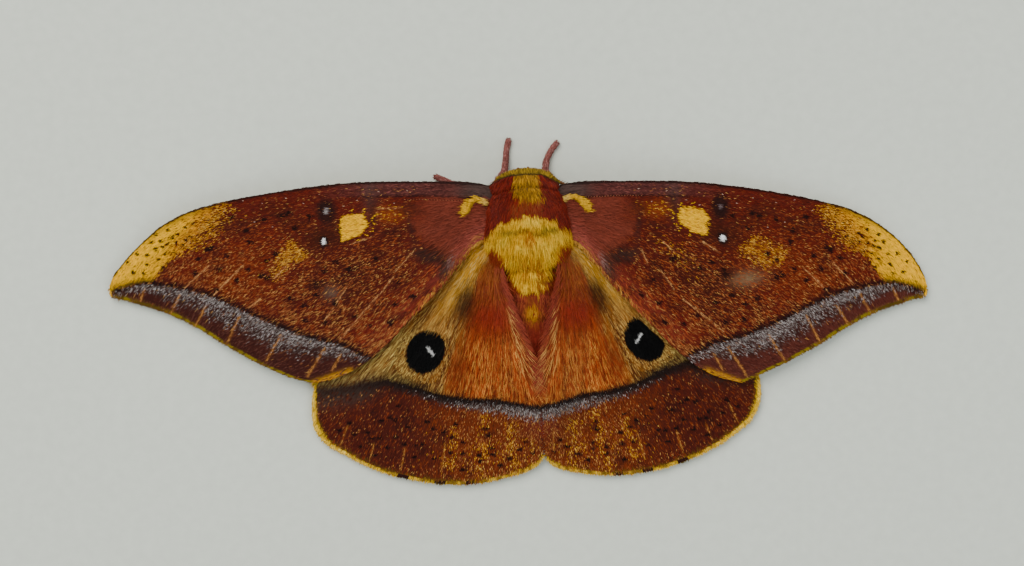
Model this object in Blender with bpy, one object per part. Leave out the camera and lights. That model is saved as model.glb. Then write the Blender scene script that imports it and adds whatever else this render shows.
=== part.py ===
"""A life-size resting moth with its wings spread flat, its head forward along +Y.

Sizes are millimetres until mesh_object() turns them into metres. The body, the hindwings,
the legs and the antennae are laid out in the body's own frame, whose +Y is the body's axis.
The body is turned a few degrees on the ground, while the forewings stay square to the view.
"""

import bpy
import numpy as np

MM = 0.001
GAP = 0.38                      # growth of a cutter, which leaves about 0.3 of clearance

# The body's own frame on the ground
BODY_PIVOT = (1.2, 12.6)        # middle of the thorax
BODY_YAW = np.radians(4.2)      # anticlockwise seen from above

# Body shells: rows of distance along the axis, half width, lowest and highest point
THORAX_ROWS = [
    (5.3, 1.4, 5.6, 8.4),
    (5.0, 4.0, 3.8, 10.4),
    (4.0, 5.4, 2.9, 11.8),
    (1.0, 5.9, 2.5, 12.8),
    (-2.5, 5.9, 2.5, 12.5),
    (-4.9, 5.1, 2.8, 11.3),
    (-6.2, 3.7, 3.5, 9.9),
    (-6.6, 1.5, 5.0, 8.4),
]
THORAX_LEAN = 0.22              # how far the top leans forward, per mm of height
THORAX_MIDDLE = 7.5             # height that the lean leaves where it is

ABDOMEN_ROWS = [
    (-2.6, 2.6, 2.9, 8.0),
    (-5.0, 3.9, 1.7, 9.1),
    (-9.0, 4.3, 1.1, 9.3),
    (-14.0, 4.1, 0.8, 8.8),
    (-19.0, 3.7, 0.3, 7.9),
    (-24.0, 3.0, -0.3, 6.5),
    (-28.0, 2.1, -0.2, 4.9),
    (-30.2, 0.9, 0.8, 3.2),
]
ABDOMEN_RINGS = 17              # two for each of the eight segments
SEGMENT_STEP = 0.1              # each segment's rear edge stands out this far

HEAD_CENTRE = (0.0, 6.0, 5.1)
HEAD_RADII = (1.95, 2.15, 2.2)
EYE_CENTRE = (1.6, 6.3, 5.0)
EYE_RADIUS = 1.25
PALP_PATH = [(0.6, 7.0, 4.0), (0.75, 8.0, 3.2), (0.7, 8.5, 2.5)]
PALP_RADII = [0.45, 0.42, 0.2]

COLLAR_PATH = [(-5.2, 5.5, 8.8), (-4.0, 6.1, 9.5), (-2.2, 6.7, 9.9), (0.0, 6.95, 10.1)]
COLLAR_RADII = [0.4, 0.75, 0.95, 1.0]

# Hair: flat tapered locks, each from its root to its tip in the body's own frame
LOCK_RINGS = ((0.0, 1.0), (0.45, 1.0), (0.8, 0.62))     # share of the length, share of the width
LOCK_SINK = 0.35                # how deep a root lies under the skin
# Rows of locks over the thorax: distance along the axis, first and last angle, how many,
# length, how far the tips stand off, width
THORAX_LOCKS = [
    (4.2, 30, 150, 6, 2.6, 0.45, 2.0),
    (2.2, 24, 156, 7, 2.8, 0.55, 2.0),
    (0.0, 24, 156, 7, 3.0, 0.6, 2.0),
    (-2.2, 30, 150, 6, 3.0, 0.6, 2.0),
]
# Longer locks from the thorax over the base of the abdomen: root and tip
REAR_LOCKS = [
    ((0.0, -4.6, 10.6), (0.1, -9.9, 10.25)),
    ((1.5, -4.5, 10.4), (1.9, -9.5, 10.15)),
    ((2.8, -4.2, 10.0), (3.3, -8.6, 10.3)),
    ((4.0, -3.6, 9.5), (4.9, -7.6, 9.9)),
    ((0.8, -2.6, 11.8), (0.9, -8.2, 11.0)),
    ((2.3, -2.6, 11.4), (2.7, -7.6, 10.9)),
    ((3.6, -2.2, 10.7), (4.4, -6.4, 10.5)),
]
# Tufts from the shoulders over the roots of the wings: root and tip
SHOULDER_LOCKS = [
    ((4.4, 4.1, 9.6), (7.9, 3.3, 9.3)),
    ((4.7, 2.8, 9.9), (8.4, 1.5, 9.2)),
    ((4.8, 1.2, 10.1), (8.0, -0.7, 9.2)),
    ((4.7, -0.6, 10.0), (7.5, -2.8, 9.3)),
]
COLLAR_LOCKS = 11
COLLAR_LOCK_LENGTH = 1.7
# Rows of locks over the abdomen, as for the thorax
ABDOMEN_LOCKS = [
    (-9.0, 70, 110, 3, 3.2, 0.4, 1.3),
    (-12.2, 77, 103, 3, 3.0, 0.35, 1.1),
    (-15.4, 85, 95, 2, 2.8, 0.3, 0.9),
    (-8.0, -18, 20, 2, 3.2, 0.6, 1.7),
    (-8.0, 160, 198, 2, 3.2, 0.6, 1.7),
    (-13.0, -18, 20, 2, 3.2, 0.6, 1.7),
    (-13.0, 160, 198, 2, 3.2, 0.6, 1.7),
    (-18.0, -18, 20, 2, 3.2, 0.55, 1.6),
    (-18.0, 160, 198, 2, 3.2, 0.55, 1.6),
    (-23.0, -18, 20, 2, 3.2, 0.45, 1.4),
    (-23.0, 160, 198, 2, 3.2, 0.45, 1.4),
    (-28.0, -20, 200, 5, 2.8, -0.2, 1.1),
]

# Antennae: swept back under the costa, with a double row of side branches
ANTENNA_PATH = [
    (0.9, 7.0, 6.3), (2.2, 7.6, 6.9), (4.2, 6.6, 6.3), (7.0, 5.0, 4.7),
    (10.0, 3.2, 3.6), (13.0, 0.8, 2.8), (15.4, -2.0, 2.2),
]
ANTENNA_RADII = [0.42, 0.36, 0.32, 0.3, 0.28, 0.26, 0.2]
BRANCH_SPAN = (0.3, 0.86)       # stretch of the antenna that carries branches
BRANCH_PAIRS = 10
BRANCH_LENGTH = 1.15
BRANCH_WIDTH = 0.5

# Legs: hip to toe, along x outward, y forward, z up, and the radius at each point
LEG_RADII = [0.9, 0.8, 0.75, 0.62, 0.54, 0.5, 0.52]
LEG_PATHS = {
    "leg_front_left": [
        (-1.7, 3.0, 3.6), (-3.1, 4.6, 2.0), (-3.7, 6.3, 1.9), (-2.8, 8.2, 1.1),
        (-2.45, 9.9, 0.65), (-2.2, 11.5, 0.46), (-1.75, 12.9, 0.42),
    ],
    "leg_front_right": [
        (1.7, 3.0, 3.6), (3.1, 4.4, 2.0), (3.9, 6.0, 1.9), (3.3, 7.9, 1.1),
        (3.6, 9.4, 0.65), (4.3, 10.7, 0.46), (5.35, 11.95, 0.42),
    ],
    "leg_middle_left": [
        (-2.2, 0.4, 3.2), (-4.6, 2.0, 2.5), (-6.8, 3.9, 3.2), (-8.8, 5.7, 1.8),
        (-10.2, 6.7, 0.8), (-11.6, 7.5, 0.42), (-13.1, 8.2, 0.4),
    ],
    "leg_middle_right": [
        (2.2, 0.4, 3.2), (4.6, 1.4, 2.5), (6.8, 2.6, 3.2), (8.8, 3.4, 1.8),
        (10.2, 3.9, 0.8), (11.6, 4.3, 0.42), (12.9, 4.6, 0.4),
    ],
    "leg_hind_left": [
        (-2.0, -2.4, 3.2), (-4.4, -4.0, 2.4), (-6.6, -5.4, 3.0), (-8.2, -8.5, 1.9),
        (-9.4, -12.0, 0.9), (-10.2, -14.8, 0.42), (-10.8, -17.0, 0.4),
    ],
    "leg_hind_right": [
        (2.0, -2.4, 3.2), (4.4, -4.0, 2.4), (6.6, -5.4, 3.0), (8.2, -8.5, 1.9),
        (9.4, -12.0, 0.9), (10.2, -14.8, 0.42), (10.8, -17.0, 0.4),
    ],
}

# Wings: x outward from the costa's root and y forward, each side a curve through its points
WING_THICKNESS = 0.6
VEIN_HEIGHT = 0.28
VEIN_FOOT = 0.55                # half width of a vein's ridge
FOREWING = {
    "costa": [
        (-2.2, -0.9), (0.0, -0.3), (9.0, 0.15), (19.3, 0.05), (30.2, -1.15), (38.2, -2.55),
        (42.6, -3.65), (46.7, -5.5), (50.3, -8.2), (53.0, -11.4), (54.2, -13.6), (54.7, -15.6),
    ],
    "outer": [
        (54.7, -15.6), (54.3, -16.6), (52.9, -16.95), (50.3, -17.7), (45.7, -19.3),
        (42.2, -21.05), (37.8, -23.85), (33.1, -26.5), (28.9, -28.4), (25.6, -29.3),
    ],
    "hind": [
        (-2.2, -8.0), (1.2, -8.6), (4.0, -11.4), (7.2, -15.3), (11.5, -19.9),
        (15.5, -24.2), (19.0, -26.9), (22.2, -28.5), (25.6, -29.3),
    ],
    "veins": [0.045, 0.13, 0.285, 0.405, 0.575, 0.77, 0.92],
    "between": [],              # further columns of the grid, where the margin bends
    "cell": (1, 4),             # indices of the veins on either side of the discal cell
    "cell_end": 0.42,
    "rows": 17,
    "root_height": 8.5,
    "margin_heights": (1.15, 2.6),
    "sag": 1.15,
}
HINDWING = {
    "costa": [
        (4.2, 0.6), (6.0, 0.2), (12.0, -3.2), (20.0, -8.2), (27.0, -13.4), (31.0, -18.2),
    ],
    "outer": [
        (31.0, -18.2), (32.5, -21.8), (33.15, -25.0), (32.95, -28.1), (31.6, -30.6),
        (28.9, -32.6), (25.6, -34.5), (22.4, -35.8), (19.2, -36.75), (15.2, -37.45),
        (11.2, -37.7), (7.7, -37.4), (4.7, -36.85), (2.2, -36.15), (0.9, -35.4), (0.2, -34.3),
    ],
    "hind": [
        (3.4, -3.2), (4.2, -6.4), (3.4, -10.2), (2.3, -14.2), (1.2, -18.0),
        (0.35, -21.4), (0.2, -25.0), (0.2, -34.3),
    ],
    "veins": [0.07, 0.25, 0.38, 0.48, 0.62, 0.77, 0.89],
    "between": [0.16, 0.95],
    "cell": (1, 4),
    "cell_end": 0.36,
    "rows": 15,
    "root_height": 6.2,
    "margin_heights": (1.05, 1.05),
    "sag": 1.3,
}
# Each wing has its own edge where it differs from its pair: the left tip is slimmer, and the
# right forewing's margin and the left hindwing's lie a little closer in
FOREWINGS = {
    "left": dict(FOREWING, costa=[
        (-2.2, -0.9), (0.0, -0.3), (9.0, 0.15), (19.3, 0.0), (30.2, -1.35), (38.1, -2.85),
        (42.45, -4.1), (46.35, -6.1), (49.7, -8.85), (52.45, -11.75), (53.95, -13.7), (54.7, -15.6),
    ]),
    "right": dict(FOREWING, outer=[
        (54.7, -15.6), (54.3, -16.6), (52.9, -16.95), (50.3, -17.7), (45.7, -19.3),
        (42.2, -21.05), (37.7, -23.65), (32.9, -26.1), (28.7, -27.95), (25.6, -29.3),
    ]),
}
HINDWINGS = {
    "left": dict(HINDWING, outer=[
        (31.0, -18.2), (32.5, -21.8), (33.15, -25.0), (32.95, -28.1), (31.5, -30.5),
        (28.7, -32.35), (25.5, -34.3), (22.35, -35.65), (19.15, -36.6), (15.2, -37.4),
        (11.2, -37.7), (7.7, -37.4), (4.7, -36.85), (2.2, -36.15), (0.9, -35.4), (0.2, -34.3),
    ]),
    "right": HINDWING,
}
FOREWING_ROOTS = {"left": (-5.15, 18.6), "right": (6.8, 18.7)}   # on the ground's own axes
FOREWING_SPAN = {"left": 1.027, "right": 0.969}
FOREWING_LEAN = {"left": 0.04, "right": -0.04}
HINDWING_SPAN = {"left": 1.016, "right": 0.984}
HINDWING_LEAN = {"left": 0.012, "right": -0.012}
# The hindwings ride over the abdomen: rows of distance along the axis, crest, crest radius
CREST_ROWS = [
    (2.0, 8.4, 4.9), (-4.0, 10.2, 5.0), (-9.0, 10.35, 5.1), (-14.0, 9.85, 4.9), (-19.0, 8.9, 4.5),
    (-24.0, 7.65, 3.9), (-28.0, 6.0, 3.4), (-31.0, 4.1, 3.2), (-34.0, 1.9, 3.0), (-38.0, -1.5, 3.0),
]
CREST_BLEND = 0.9
SIDES = {"left": -1, "right": 1}

COLOURS = {
    "rust_wing": ((0.27, 0.06, 0.02), 0.75),
    "orange_wing": ((0.36, 0.10, 0.02), 0.75),
    "thorax_fur": ((0.30, 0.08, 0.02), 0.9),
    "collar_fur": ((0.52, 0.34, 0.03), 0.9),
    "abdomen_fur": ((0.34, 0.08, 0.03), 0.9),
    "leg_scales": ((0.30, 0.09, 0.08), 0.7),
    "head_fur": ((0.33, 0.10, 0.04), 0.9),
    "eye": ((0.02, 0.012, 0.01), 0.15),
    "antenna": ((0.28, 0.12, 0.05), 0.7),
}


def clear_scene():
    for thing in list(bpy.data.objects):
        bpy.data.objects.remove(thing)


def material(name):
    """Return the named Principled material, made on first use."""
    made = bpy.data.materials.get(name)
    if made:
        return made
    colour, roughness = COLOURS[name]
    made = bpy.data.materials.new(name)
    made.use_nodes = True
    shader = made.node_tree.nodes["Principled BSDF"]
    shader.inputs["Base Color"].default_value = (*colour, 1)
    shader.inputs["Roughness"].default_value = roughness
    shader.inputs["Metallic"].default_value = 0
    return made


def mesh_object(name, points, faces, material_name):
    """Make a closed mesh from points in millimetres, smooth except at sharp edges."""
    mesh = bpy.data.meshes.new(name)
    mesh.from_pydata((np.asarray(points) * MM).tolist(), [], [tuple(f) for f in faces])
    mesh.materials.append(material(material_name))
    mesh.shade_smooth()
    mesh.set_sharp_from_angle(angle=np.radians(50))
    thing = bpy.data.objects.new(name, mesh)
    bpy.context.scene.collection.objects.link(thing)
    return thing


def along(points, share):
    """Read a smooth curve through the points at shares 0 to 1 of its chord length.

    Each stretch is a Hermite cubic whose end slopes come from the neighbouring points.
    """
    points = np.asarray(points, float)
    knots = np.concatenate([[0], np.cumsum(np.linalg.norm(np.diff(points, axis=0), axis=1))])
    knots /= knots[-1]
    slopes = np.gradient(points, knots, axis=0)
    share = np.clip(np.asarray(share, float), 0, 1)
    stretch = np.clip(np.searchsorted(knots, share, side="right") - 1, 0, len(knots) - 2)
    width = (knots[stretch + 1] - knots[stretch])[..., None]
    t = (share[..., None] - knots[stretch][..., None]) / width
    start, end = points[stretch], points[stretch + 1]
    start_slope, end_slope = slopes[stretch] * width, slopes[stretch + 1] * width
    return (
        (2 * t**3 - 3 * t**2 + 1) * start
        + (t**3 - 2 * t**2 + t) * start_slope
        + (3 * t**2 - 2 * t**3) * end
        + (t**3 - t**2) * end_slope
    )


def on_ground(points):
    """Turn and move points from the body's own frame to where the body lies."""
    points = np.array(points, float)
    c, s = np.cos(BODY_YAW), np.sin(BODY_YAW)
    x, y = points[..., 0].copy(), points[..., 1].copy()
    points[..., 0] = BODY_PIVOT[0] + c * x - s * y
    points[..., 1] = BODY_PIVOT[1] + s * x + c * y
    return points


def tube_faces(rings, sides):
    """Faces of a skin over rings of points, closed at both ends by a fan on a last point."""
    faces = []
    for ring in range(rings - 1):
        for side in range(sides):
            a = ring * sides + side
            b = ring * sides + (side + 1) % sides
            faces.append((a, b, b + sides, a + sides))
    first, last = rings * sides, rings * sides + 1
    for side in range(sides):
        after = (side + 1) % sides
        faces.append((first, after, side))
        faces.append((last, (rings - 1) * sides + side, (rings - 1) * sides + after))
    return faces


def shell(rows, rings, sides, swell=0.0, lean=0.0, middle=0.0, step=0.0):
    """Points and faces of an oval shell along the body's axis, grown by swell all round."""
    rows = np.array(rows, float)
    shares = np.linspace(0, 1, rings)
    shares = 0.5 - 0.5 * np.cos(np.pi * shares) if step == 0 else shares
    profile = along(rows, shares)
    y, half = profile[:, 0], profile[:, 1] + swell
    if step:
        half = half + step * (np.arange(rings) % 2 * 2 - 1)
    y = y + swell * np.linspace(1, -1, rings)
    height = (profile[:, 3] - profile[:, 2]) / 2 + swell
    centre = (profile[:, 3] + profile[:, 2]) / 2
    turn = 2 * np.pi * (np.arange(sides) + 0.5) / sides
    x = half[:, None] * np.cos(turn)
    z = centre[:, None] + height[:, None] * np.sin(turn)
    points = np.stack([x, np.broadcast_to(y[:, None], x.shape), z], axis=-1)
    ends = np.array([[0, y[0], centre[0]], [0, y[-1], centre[-1]]])
    points = np.concatenate([points.reshape(-1, 3), ends])
    points[:, 1] += lean * (points[:, 2] - middle)
    points[:, 2] = np.maximum(points[:, 2], 0)
    return points, tube_faces(rings, sides)


def ball(centre, radii, rings=9, sides=14, swell=0.0):
    """Points and faces of an ellipsoid whose poles lie along the body's axis."""
    centre, radii = np.array(centre, float), np.array(radii, float) + swell
    lift = np.pi * (np.arange(rings) + 1) / (rings + 1)
    turn = 2 * np.pi * (np.arange(sides) + 0.5) / sides
    x = np.sin(lift)[:, None] * np.cos(turn)
    y = np.broadcast_to(np.cos(lift)[:, None], x.shape)
    z = np.sin(lift)[:, None] * np.sin(turn)
    points = np.stack([x, y, z], axis=-1).reshape(-1, 3)
    points = np.concatenate([points, [[0, 1, 0], [0, -1, 0]]])
    return centre + radii * points, tube_faces(rings, sides)


def path_frames(path):
    """Unit tangent, sideways and upward vectors at each point of a path."""
    tangent = np.gradient(path, axis=0)
    tangent /= np.linalg.norm(tangent, axis=1)[:, None]
    sideways = np.cross(tangent, (0, 0, 1))
    sideways /= np.linalg.norm(sideways, axis=1)[:, None]
    return tangent, sideways, np.cross(sideways, tangent)


def limb(path, radii, rings, sides, swell=0.0, flat=1.0):
    """Points and faces of a round limb along a smooth path, flat where it meets the floor."""
    shares = np.linspace(0, 1, rings)
    spine = along(path, shares)
    knots = np.linspace(0, 1, len(radii))
    radius = np.interp(shares, knots, radii) + swell
    radius[[0, -1]] *= 0.72
    tangent, sideways, upward = path_frames(spine)
    spine[0] -= swell * tangent[0]
    spine[-1] += swell * tangent[-1]
    turn = 2 * np.pi * (np.arange(sides) + 0.5) / sides
    ring = (
        np.cos(turn)[None, :, None] * sideways[:, None, :]
        + flat * np.sin(turn)[None, :, None] * upward[:, None, :]
    )
    points = spine[:, None, :] + radius[:, None, None] * ring
    ends = np.stack([
        spine[0] - 0.35 * radius[0] * tangent[0],
        spine[-1] + 0.35 * radius[-1] * tangent[-1],
    ])
    points = np.concatenate([points.reshape(-1, 3), ends])
    points[:, 2] = np.maximum(points[:, 2], 0)
    return points, [face[::-1] for face in tube_faces(rings, sides)]


def blade(root, tip, across, width, thickness):
    """Points and faces of a flat, tapered spike with a four-sided section."""
    root, tip, across = (np.array(v, float) for v in (root, tip, across))
    along_it = (tip - root) / np.linalg.norm(tip - root)
    across = across - along_it * (across @ along_it)
    across /= np.linalg.norm(across)
    through = np.cross(along_it, across)
    rings = []
    for share, scale in ((0, 1), (0.6, 0.85)):
        middle = root + (tip - root) * share
        for a, b in ((1, 0), (0, 1), (-1, 0), (0, -1)):
            rings.append(middle + scale * (a * across * width / 2 + b * through * thickness / 2))
    points = np.array([*rings, root, tip])
    return points, tube_faces(2, 4)


def lock(root, tip, normal, width, lift=0.5, thickness=0.5):
    """Points and faces of a lock of hair: flat, bent up along its length and tapered."""
    root, tip, normal = (np.array(v, float) for v in (root, tip, normal))
    length = np.linalg.norm(tip - root)
    across = np.cross(tip - root, normal)
    across /= np.linalg.norm(across)
    upward = np.cross(across, tip - root)
    upward /= np.linalg.norm(upward)
    rings = []
    for share, scale in LOCK_RINGS:
        bend = lift * 4 * share * (1 - share) * length * 0.1
        middle = root + (tip - root) * share + bend * upward
        for a, b in ((1, 0), (0, 1), (-1, 0), (0, -1)):
            offset = a * across * width / 2 + b * upward * thickness / 2
            rings.append(middle + scale * offset)
    points = np.array([*rings, root, tip])
    return points, [face[::-1] for face in tube_faces(len(LOCK_RINGS), 4)]


def on_shell(rows, y, angle, lean=0.0, middle=0.0):
    """A place on a shell's skin and the outward direction there."""
    rows = np.array(rows, float)[::-1]
    half, low, high = (np.interp(y, rows[:, 0], rows[:, i]) for i in (1, 2, 3))
    centre, height = (high + low) / 2, (high - low) / 2
    c, s = np.cos(angle), np.sin(angle)
    z = centre + height * s
    place = np.array([half * c, y + lean * (z - middle), z])
    normal = np.array([c / half, 0, s / height])
    return place, normal / np.linalg.norm(normal)


def rows_of_locks(name, table, rows, material_name, lean=0.0, middle=0.0):
    """Locks lying rearward over a shell, in rows whose roots are staggered like tiles."""
    locks = []
    for row, (y, first, last, count, length, stand_off, width) in enumerate(table):
        angles = np.radians(np.linspace(first, last, count))
        if count > 2:
            angles += np.radians(3) * (-1) ** row
        for number, angle in enumerate(angles):
            shift = 0.35 * (-1) ** number
            root, root_normal = on_shell(rows, y + shift, angle, lean, middle)
            tip, tip_normal = on_shell(rows, y + shift - length, angle, lean, middle)
            root = root - LOCK_SINK * root_normal
            tip = tip + stand_off * tip_normal
            points, faces = lock(root, tip, root_normal, width)
            locks.append(mesh_object(name, on_ground(points), faces, material_name))
    return locks


def paired_locks(name, table, width, material_name):
    """Locks given by root and tip on the right side, and their mirror images."""
    locks = []
    for root, tip in table:
        for sign in (1, -1):
            if sign < 0 and root[0] == 0:
                continue
            ends = mirrored([root, tip], sign)
            points, faces = lock(ends[0], ends[1], (0, 0, 1), width)
            locks.append(mesh_object(name, on_ground(points), faces, material_name))
    return locks


def combine(thing, others, operation):
    """Apply one Boolean of thing with a collection of closed meshes, and remove them."""
    group = bpy.data.collections.new("joined")
    for other in others:
        bpy.context.scene.collection.objects.unlink(other)
        group.objects.link(other)
    bpy.context.scene.collection.children.link(group)
    modifier = thing.modifiers.new("joined", "BOOLEAN")
    modifier.operation = operation
    modifier.operand_type = "COLLECTION"
    modifier.collection = group
    modifier.solver = "EXACT"
    apply_modifiers(thing)
    for other in others:
        bpy.data.objects.remove(other)
    bpy.data.collections.remove(group)
    keep_largest(thing)
    return thing


def apply_modifiers(thing):
    graph = bpy.context.evaluated_depsgraph_get()
    mesh = bpy.data.meshes.new_from_object(thing.evaluated_get(graph))
    thing.modifiers.clear()
    thing.data = mesh


def keep_largest(thing):
    """Drop every separate shell of a mesh but the one with the largest box."""
    mesh = thing.data
    parent = list(range(len(mesh.vertices)))

    def top(index):
        while parent[index] != index:
            parent[index] = parent[parent[index]]
            index = parent[index]
        return index

    for edge in mesh.edges:
        a, b = top(edge.vertices[0]), top(edge.vertices[1])
        parent[a] = b
    groups = {}
    for vertex in mesh.vertices:
        groups.setdefault(top(vertex.index), []).append(vertex.index)
    if len(groups) < 2:
        return
    points = np.array([vertex.co for vertex in mesh.vertices])
    largest = max(groups.values(), key=lambda group: np.prod(np.ptp(points[group], axis=0)))
    kept = set(largest)
    order = {old: new for new, old in enumerate(sorted(kept))}
    faces = [
        [order[v] for v in face.vertices]
        for face in mesh.polygons
        if face.vertices[0] in kept
    ]
    whole = bpy.data.meshes.new(mesh.name)
    whole.from_pydata(points[sorted(kept)].tolist(), [], faces)
    whole.materials.append(mesh.materials[0])
    whole.shade_smooth()
    whole.set_sharp_from_angle(angle=np.radians(50))
    thing.data = whole


def wing_plan(wing, across, out):
    """Flat places on a wing: a Coons patch between its costa, outer, hind and root edges.

    across runs 0 to 1 from the costa to the hind edge, out 0 to 1 from root to margin.
    """
    costa, hind = along(wing["costa"], out), along(wing["hind"], out)
    outer = along(wing["outer"], across)
    first, last = np.array(wing["costa"][0]), np.array(wing["hind"][0])
    tip, corner = np.array(wing["outer"][0]), np.array(wing["outer"][-1])
    s, v = across[..., None], out[..., None]
    root = first + (last - first) * s
    corners = (1 - s) * (1 - v) * first + s * (1 - v) * last + (1 - s) * v * tip + s * v * corner
    return (1 - s) * costa + s * hind + (1 - v) * root + v * outer - corners


def wing_slope(wing, across, out):
    """Height of the membrane before the body lifts it: it sags from the root to the margin."""
    low = wing["margin_heights"][0]
    rise = wing["margin_heights"][1] - low
    margin = low + rise * across * across * (3 - 2 * across)
    return margin + (wing["root_height"] - margin) * (1 - out) ** wing["sag"]


def over_abdomen(height, x, y):
    """Lift a hindwing over the abdomen's crest, with a soft change to the flat part."""
    rows = np.array(CREST_ROWS)[::-1]
    crest = np.interp(y, rows[:, 0], rows[:, 1])
    radius = np.interp(y, rows[:, 0], rows[:, 2])
    ridge = crest - x**2 / (2 * radius)
    return (height + ridge + np.sqrt((height - ridge) ** 2 + CREST_BLEND**2)) / 2


def wing_grid(wing):
    """Shares across and out for every grid point, and how far each stands on a vein's ridge."""
    outer = along(wing["outer"], np.linspace(0, 1, 60))
    length = np.sum(np.linalg.norm(np.diff(outer, axis=0), axis=1))
    foot = VEIN_FOOT / length
    ridge_of = {share: 0.0 for share in [0.0, *wing["between"], 1.0]}
    for vein in wing["veins"]:
        ridge_of.update({vein - foot: 0.0, vein: 1.0, vein + foot: 0.0})
    columns = np.array(sorted(ridge_of))
    ridge = np.array([ridge_of[share] for share in columns])
    cell_row = wing["cell_end"]
    rows = np.concatenate([
        np.linspace(0, cell_row - 0.015, wing["rows"] // 2),
        [cell_row],
        np.linspace(cell_row + 0.015, 1, wing["rows"] // 2 + 1),
    ])
    across, out = np.meshgrid(columns, rows, indexing="ij")
    raised = np.repeat(ridge[:, None], len(rows), axis=1)
    low, high = (wing["veins"][index] for index in wing["cell"])
    inside = (columns > low) & (columns < high)
    raised[np.ix_(inside, rows < cell_row)] = 0
    raised[np.ix_(inside, rows == cell_row)] = 1
    return across, out, raised


def wing_object(name, wing, place, material_name):
    """A thin wing with vein ridges on its upper face. place() puts flat points in space."""
    across, out, raised = wing_grid(wing)
    top = place(wing, across, out)
    bottom = top - (0, 0, WING_THICKNESS)
    top[..., 2] += VEIN_HEIGHT * raised
    columns, rows = across.shape
    count = columns * rows
    index = np.arange(count).reshape(columns, rows)
    faces = []
    for i in range(columns - 1):
        for j in range(rows - 1):
            a, b, c, d = index[i, j], index[i + 1, j], index[i + 1, j + 1], index[i, j + 1]
            faces += [(a, b, c), (a, c, d)]
            faces += [(c + count, b + count, a + count), (d + count, c + count, a + count)]
    rim = [*index[:, 0], *index[-1, 1:], *index[-2::-1, -1], *index[0, -2:0:-1]]
    for a, b in zip(rim, [*rim[1:], rim[0]]):
        faces += [(a, a + count, b + count), (a, b + count, b)]
    points = np.concatenate([top.reshape(-1, 3), bottom.reshape(-1, 3)])
    if place(wing, np.array([0.0]), np.array([1.0]))[0, 0] > 0:
        faces = [face[::-1] for face in faces]
    return mesh_object(name, points, faces, material_name)


def forewing_place(side):
    """Return the function that puts a forewing's flat points in space."""
    sign, span, lean = SIDES[side], FOREWING_SPAN[side], FOREWING_LEAN[side]
    root = FOREWING_ROOTS[side]

    def place(wing, across, out):
        flat = wing_plan(wing, across, out)
        x = root[0] + sign * (flat[..., 0] * span + flat[..., 1] * lean)
        y = root[1] + flat[..., 1]
        return np.stack([x, y, wing_slope(wing, across, out)], axis=-1)

    return place


def hindwing_place(side):
    """Return the function that puts a hindwing's flat points in space."""
    sign, span, lean = SIDES[side], HINDWING_SPAN[side], HINDWING_LEAN[side]

    def place(wing, across, out):
        flat = wing_plan(wing, across, out)
        x = flat[..., 0] * span
        y = flat[..., 1] + flat[..., 0] * lean
        z = over_abdomen(wing_slope(wing, across, out), x, y)
        return on_ground(np.stack([sign * x, y, z], axis=-1))

    return place


def thorax_shell(swell=0.0, name="thorax_cutter"):
    points, faces = shell(THORAX_ROWS, 15, 18, swell, THORAX_LEAN, THORAX_MIDDLE)
    return mesh_object(name, on_ground(points), faces, "thorax_fur")


def collar_shell(swell=0.0, name="collar_cutter"):
    path = [*COLLAR_PATH, *mirrored(COLLAR_PATH[-2::-1], -1)]
    radii = [*COLLAR_RADII, *COLLAR_RADII[-2::-1]]
    points, faces = limb(path, radii, 15, 10, swell)
    return mesh_object(name, on_ground(points), faces, "collar_fur")


def head_shell(swell=0.0, name="head_cutter"):
    points, faces = ball(HEAD_CENTRE, HEAD_RADII, swell=swell)
    return mesh_object(name, on_ground(points), faces, "head_fur")


def mirrored(points, sign):
    return [(sign * x, y, z) for x, y, z in points]


def collar_locks():
    """A fan of locks along the collar, reaching forward over the head."""
    path = [*COLLAR_PATH, *mirrored(COLLAR_PATH[-2::-1], -1)]
    locks = []
    for number, share in enumerate(np.linspace(0.1, 0.9, COLLAR_LOCKS)):
        middle = along(path, np.array([share]))[0]
        outward = np.array([0.55 * middle[0] / 5.2, 1.0, 0.0])
        outward /= np.linalg.norm(outward)
        root = middle + (0, 0, 0.35) - 0.2 * outward
        tip = middle + COLLAR_LOCK_LENGTH * outward - (0, 0, 0.35 + 0.3 * (number % 2))
        points, faces = lock(root, tip, (0, 0, 1), 1.5)
        locks.append(mesh_object("collar_lock", on_ground(points), faces, "collar_fur"))
    return locks


def make_body():
    """The thorax, the abdomen that meets it, and the collar across its front."""
    thorax = thorax_shell(name="thorax")
    hair = rows_of_locks(
        "thorax_lock", THORAX_LOCKS, THORAX_ROWS, "thorax_fur", THORAX_LEAN, THORAX_MIDDLE
    )
    hair += paired_locks("rear_lock", REAR_LOCKS, 1.9, "thorax_fur")
    hair += paired_locks("shoulder_lock", SHOULDER_LOCKS, 1.7, "thorax_fur")
    combine(thorax, hair, "UNION")

    points, faces = shell(ABDOMEN_ROWS, ABDOMEN_RINGS, 16, step=SEGMENT_STEP)
    abdomen = mesh_object("abdomen", on_ground(points), faces, "abdomen_fur")
    hair = rows_of_locks("abdomen_lock", ABDOMEN_LOCKS, ABDOMEN_ROWS, "abdomen_fur")
    combine(abdomen, hair, "UNION")
    combine(abdomen, [thorax_shell(GAP)], "DIFFERENCE")

    collar = collar_shell(name="collar")
    combine(collar, collar_locks(), "UNION")
    combine(collar, [thorax_shell(GAP)], "DIFFERENCE")


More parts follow.
